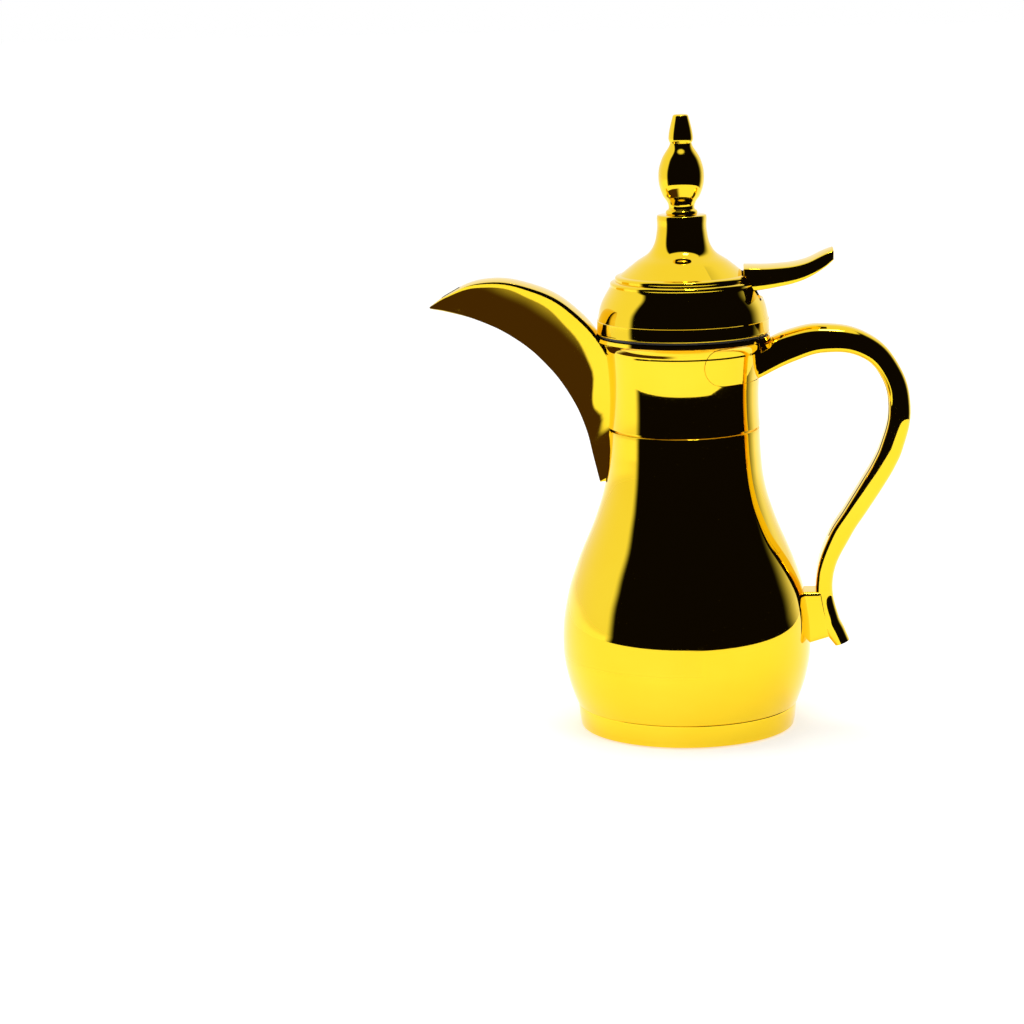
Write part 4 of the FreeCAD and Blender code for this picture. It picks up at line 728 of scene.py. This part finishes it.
def fading_finish(name, colour, left, right, far):
    """An even glow that thins out over (start, end) bearings at its sides and distances from the origin."""
    material = glow_finish(name, colour, 1.0)
    nodes, links = material.node_tree.nodes, material.node_tree.links
    place = nodes.new("ShaderNodeTexCoord")
    split = nodes.new("ShaderNodeSeparateXYZ")
    links.new(place.outputs["Object"], split.inputs["Vector"])
    distance = nodes.new("ShaderNodeVectorMath")
    distance.operation = "LENGTH"
    links.new(place.outputs["Object"], distance.inputs[0])
    front = nodes.new("ShaderNodeMath")
    front.operation = "MULTIPLY"
    front.inputs[1].default_value = -1
    links.new(split.outputs["Y"], front.inputs[0])
    bearing = nodes.new("ShaderNodeMath")
    bearing.operation = "ARCTAN2"
    links.new(split.outputs["X"], bearing.inputs[0])
    links.new(front.outputs["Value"], bearing.inputs[1])
    thin = None
    for measure, (start, end) in ((bearing, left), (bearing, right), (distance, far)):
        fade = nodes.new("ShaderNodeMapRange")
        fade.interpolation_type = "SMOOTHSTEP"
        fade.inputs["From Min"].default_value = start
        fade.inputs["From Max"].default_value = end
        links.new(measure.outputs["Value"], fade.inputs["Value"])
        thinner = nodes.new("ShaderNodeMath")
        thinner.operation = "MAXIMUM"
        links.new(fade.outputs["Result"], thinner.inputs[0])
        thinner.inputs[1].default_value = 0
        if thin:
            links.new(thin.outputs["Value"], thinner.inputs[1])
        thin = thinner
    clear = nodes.new("ShaderNodeBsdfTransparent")
    veil = nodes.new("ShaderNodeMixShader")
    links.new(thin.outputs["Value"], veil.inputs["Fac"])
    links.new(nodes["Emission"].outputs["Emission"], veil.inputs[1])
    links.new(clear.outputs["BSDF"], veil.inputs[2])
    links.new(veil.outputs["Shader"], nodes["Material Output"].inputs["Surface"])
    return material


def only_in_mirrors(thing):
    """Hides a stage piece from everything but reflections."""
    thing.visible_camera = False
    thing.visible_diffuse = False
    thing.visible_shadow = False
    thing.visible_transmission = False
    thing.visible_volume_scatter = False


def room_side(name, corners, start, end, material):
    """A part of the round room: a line of (distance, height) corners swung from one bearing to another."""
    bm = bmesh.new()
    swing = Matrix.Rotation(start, 4, "Z")
    verts, edges = add_line(bm, [swing @ Vector((0, -distance, height)) for distance, height in corners])
    spin(bm, verts + edges, end - start, ROOM_STEPS)
    only_in_mirrors(stage_piece(name, bm, material))


def soft_box(name, place, size, power):
    """A square soft box that lights things but isn't mirrored."""
    lamp = bpy.data.lights.new(name, "AREA")
    lamp.shape = "SQUARE"
    lamp.size = size
    lamp.energy = power
    box = bpy.data.objects.new(name, lamp)
    box.location = place
    box.rotation_euler = (Vector(LIGHT_TARGET) - Vector(place)).to_track_quat("-Z", "Y").to_euler()
    box.visible_glossy = False
    bpy.context.scene.collection.objects.link(box)


def light_world(fill):
    """White all round for the camera and mirrors, and a weaker even light on everything else."""
    world = bpy.data.worlds.new("studio")
    world.use_nodes = True
    nodes, links = world.node_tree.nodes, world.node_tree.links
    nodes.clear()
    output = nodes.new("ShaderNodeOutputWorld")
    strength = nodes.new("ShaderNodeMapRange")
    strength.inputs["To Min"].default_value = fill
    strength.inputs["To Max"].default_value = 1.0
    links.new(seen_directly(nodes, links), strength.inputs["Value"])
    sky = nodes.new("ShaderNodeBackground")
    sky.inputs["Color"].default_value = (*WHITE, 1)
    links.new(strength.outputs["Result"], sky.inputs["Strength"])
    links.new(sky.outputs["Background"], output.inputs["Surface"])
    bpy.context.scene.world = world


# Bearings are counted from the camera's side to the right, and distances from the pot's axis and heights are
# in metres. A pair says where a card starts to thin out and where it has gone.
ROOM_STEPS = 96
# The unlit side of the room: a dark floor from near to far, and a dark wall
DARK_LEFT = (math.radians(-70), math.radians(-80))
DARK_RIGHT = (math.radians(104), math.radians(136))
DARK_NEAR = 0.58
DARK_FAR = 2.2
DARK_TOP = 4.6
DARK_FADE = (4.4, 5.0)
# The brown mat on the floor that the spout's flank mirrors
BROWN_LEFT = (math.radians(-105), math.radians(-130))
BROWN_RIGHT = (math.radians(-32), math.radians(-4))
BROWN_NEAR = 0.125
BROWN_FAR = (0.34, 0.36)
# The pale card at the mat's near edge that hides the mat from the belly
FENCE_LEFT = (math.radians(-131), math.radians(-148))
FENCE_RIGHT = (math.radians(-3), math.radians(14))
FENCE_TOP = 0.037
FENCE_GLOW = 1.2
# The strip of light high in front that the beads, the finial and the handle's edge mirror, from its left
# bearing to its right one
STREAK_BEARING = (math.radians(8), math.radians(42))
STREAK_OUT = 1.3
STREAK_LOW = 3.2
STREAK_HIGH = 4.8
STREAK_GLOW = 30.0
FLOOR_HALF = 6.0
FLOOR_STEPS = 8
# Soft boxes: name, place, size and share of the key light's power, and the place that they all face
SOFT_BOXES = (
    ("key_box", (0.75, -0.95, 1.35), 0.5, 1.0),
    ("left_box", (-1.3, -0.1, 0.9), 0.7, 0.7),
    ("top_box", (-0.1, 0.35, 1.6), 0.7, 1.0),
)
LIGHT_TARGET = (0, 0, 0.12)
# The camera's sensor in millimetres, and how it is turned
SENSOR_WIDTH = 36
CAMERA_PITCH = math.radians(-11.13)
CAMERA_ROLL = math.radians(1.3)
CAMERA_YAW = math.radians(3.13)


class DALLAH_OT_stage(Operator):
    """Sets up the floor, the light, the dark side of the room and the camera"""

    bl_idname = "dallah.stage"
    bl_label = "Stage"

    def execute(self, context):
        studio = context.scene.dallah_studio
        bm = bmesh.new()
        bmesh.ops.create_grid(bm, x_segments=FLOOR_STEPS, y_segments=FLOOR_STEPS, size=FLOOR_HALF)
        stage_piece("floor", bm, floor_finish(studio.floor, studio.lift))
        dark = fading_finish("dark_room", studio.dark, DARK_LEFT, DARK_RIGHT, DARK_FADE)
        room_side("dark_room", [(DARK_NEAR, MM), (DARK_FAR, MM), (DARK_FAR, DARK_TOP)],
                  DARK_LEFT[1], DARK_RIGHT[1], dark)
        room_side("brown_mat", [(BROWN_NEAR, MM), (BROWN_FAR[1], MM)], BROWN_LEFT[1], BROWN_RIGHT[1],
                  fading_finish("brown_mat", studio.brown, BROWN_LEFT, BROWN_RIGHT, BROWN_FAR))
        room_side("fence", [(BROWN_NEAR, MM), (BROWN_NEAR, FENCE_TOP)], FENCE_LEFT[1], FENCE_RIGHT[1],
                  fading_finish("fence", [FENCE_GLOW] * 3, FENCE_LEFT, FENCE_RIGHT, BROWN_FAR))
        room_side("streak", [(STREAK_OUT, STREAK_LOW), (STREAK_OUT, STREAK_HIGH)], *STREAK_BEARING,
                  glow_finish("streak", WHITE, STREAK_GLOW))
        for name, place, size, share in SOFT_BOXES:
            soft_box(name, place, size, studio.key * share)
        light_world(studio.fill)
        lens = bpy.data.cameras.new("camera")
        lens.lens = studio.camera_lens
        lens.sensor_width = SENSOR_WIDTH
        camera = bpy.data.objects.new("camera", lens)
        stand = Matrix.Translation((0, -studio.camera_distance, studio.camera_height))
        upright = Matrix.Rotation(math.pi / 2 + CAMERA_PITCH, 4, "X")
        camera.matrix_world = (stand @ Matrix.Rotation(CAMERA_YAW, 4, "Z") @ upright
                               @ Matrix.Rotation(-CAMERA_ROLL, 4, "Z"))
        context.scene.collection.objects.link(camera)
        context.scene.camera = camera
        context.scene.view_settings.view_transform = "Standard"
        return {"FINISHED"}


class DALLAH_PT_panel(Panel):
    """Lists the steps that build the pot"""

    bl_idname = "DALLAH_PT_panel"
    bl_label = "Dallah coffee pot"
    bl_space_type = "VIEW_3D"
    bl_region_type = "UI"
    bl_category = "Dallah"

    def draw(self, context):
        """One button for each step."""
        for step in STEPS:
            self.layout.operator(step.bl_idname)


STEPS = (
    DALLAH_OT_inner_parts, DALLAH_OT_body, DALLAH_OT_spout, DALLAH_OT_handle,
    DALLAH_OT_lid, DALLAH_OT_lever, DALLAH_OT_stage,
)
GROUPS = (GoldFinish, PotShape, Studio)


def register():
    """Makes the settings, the steps and the panel known."""
    for group in GROUPS:
        bpy.utils.register_class(group)
    bpy.types.Scene.dallah_gold = PointerProperty(type=GoldFinish)
    bpy.types.Scene.dallah_shape = PointerProperty(type=PotShape)
    bpy.types.Scene.dallah_studio = PointerProperty(type=Studio)
    for step in STEPS:
        bpy.utils.register_class(step)
    bpy.utils.register_class(DALLAH_PT_panel)


def unregister():
    """Takes the panel, the steps and the settings back."""
    bpy.utils.unregister_class(DALLAH_PT_panel)
    for step in reversed(STEPS):
        bpy.utils.unregister_class(step)
    del bpy.types.Scene.dallah_studio
    del bpy.types.Scene.dallah_shape
    del bpy.types.Scene.dallah_gold
    for group in reversed(GROUPS):
        bpy.utils.unregister_class(group)


def main():
    """Builds the pot and its studio."""
    register()
    bpy.ops.dallah.inner_parts()
    bpy.ops.dallah.body()
    bpy.ops.dallah.spout()
    bpy.ops.dallah.handle()
    bpy.ops.dallah.lid()
    bpy.ops.dallah.lever()
    bpy.ops.dallah.stage()


if __name__ == "__main__":
    main()
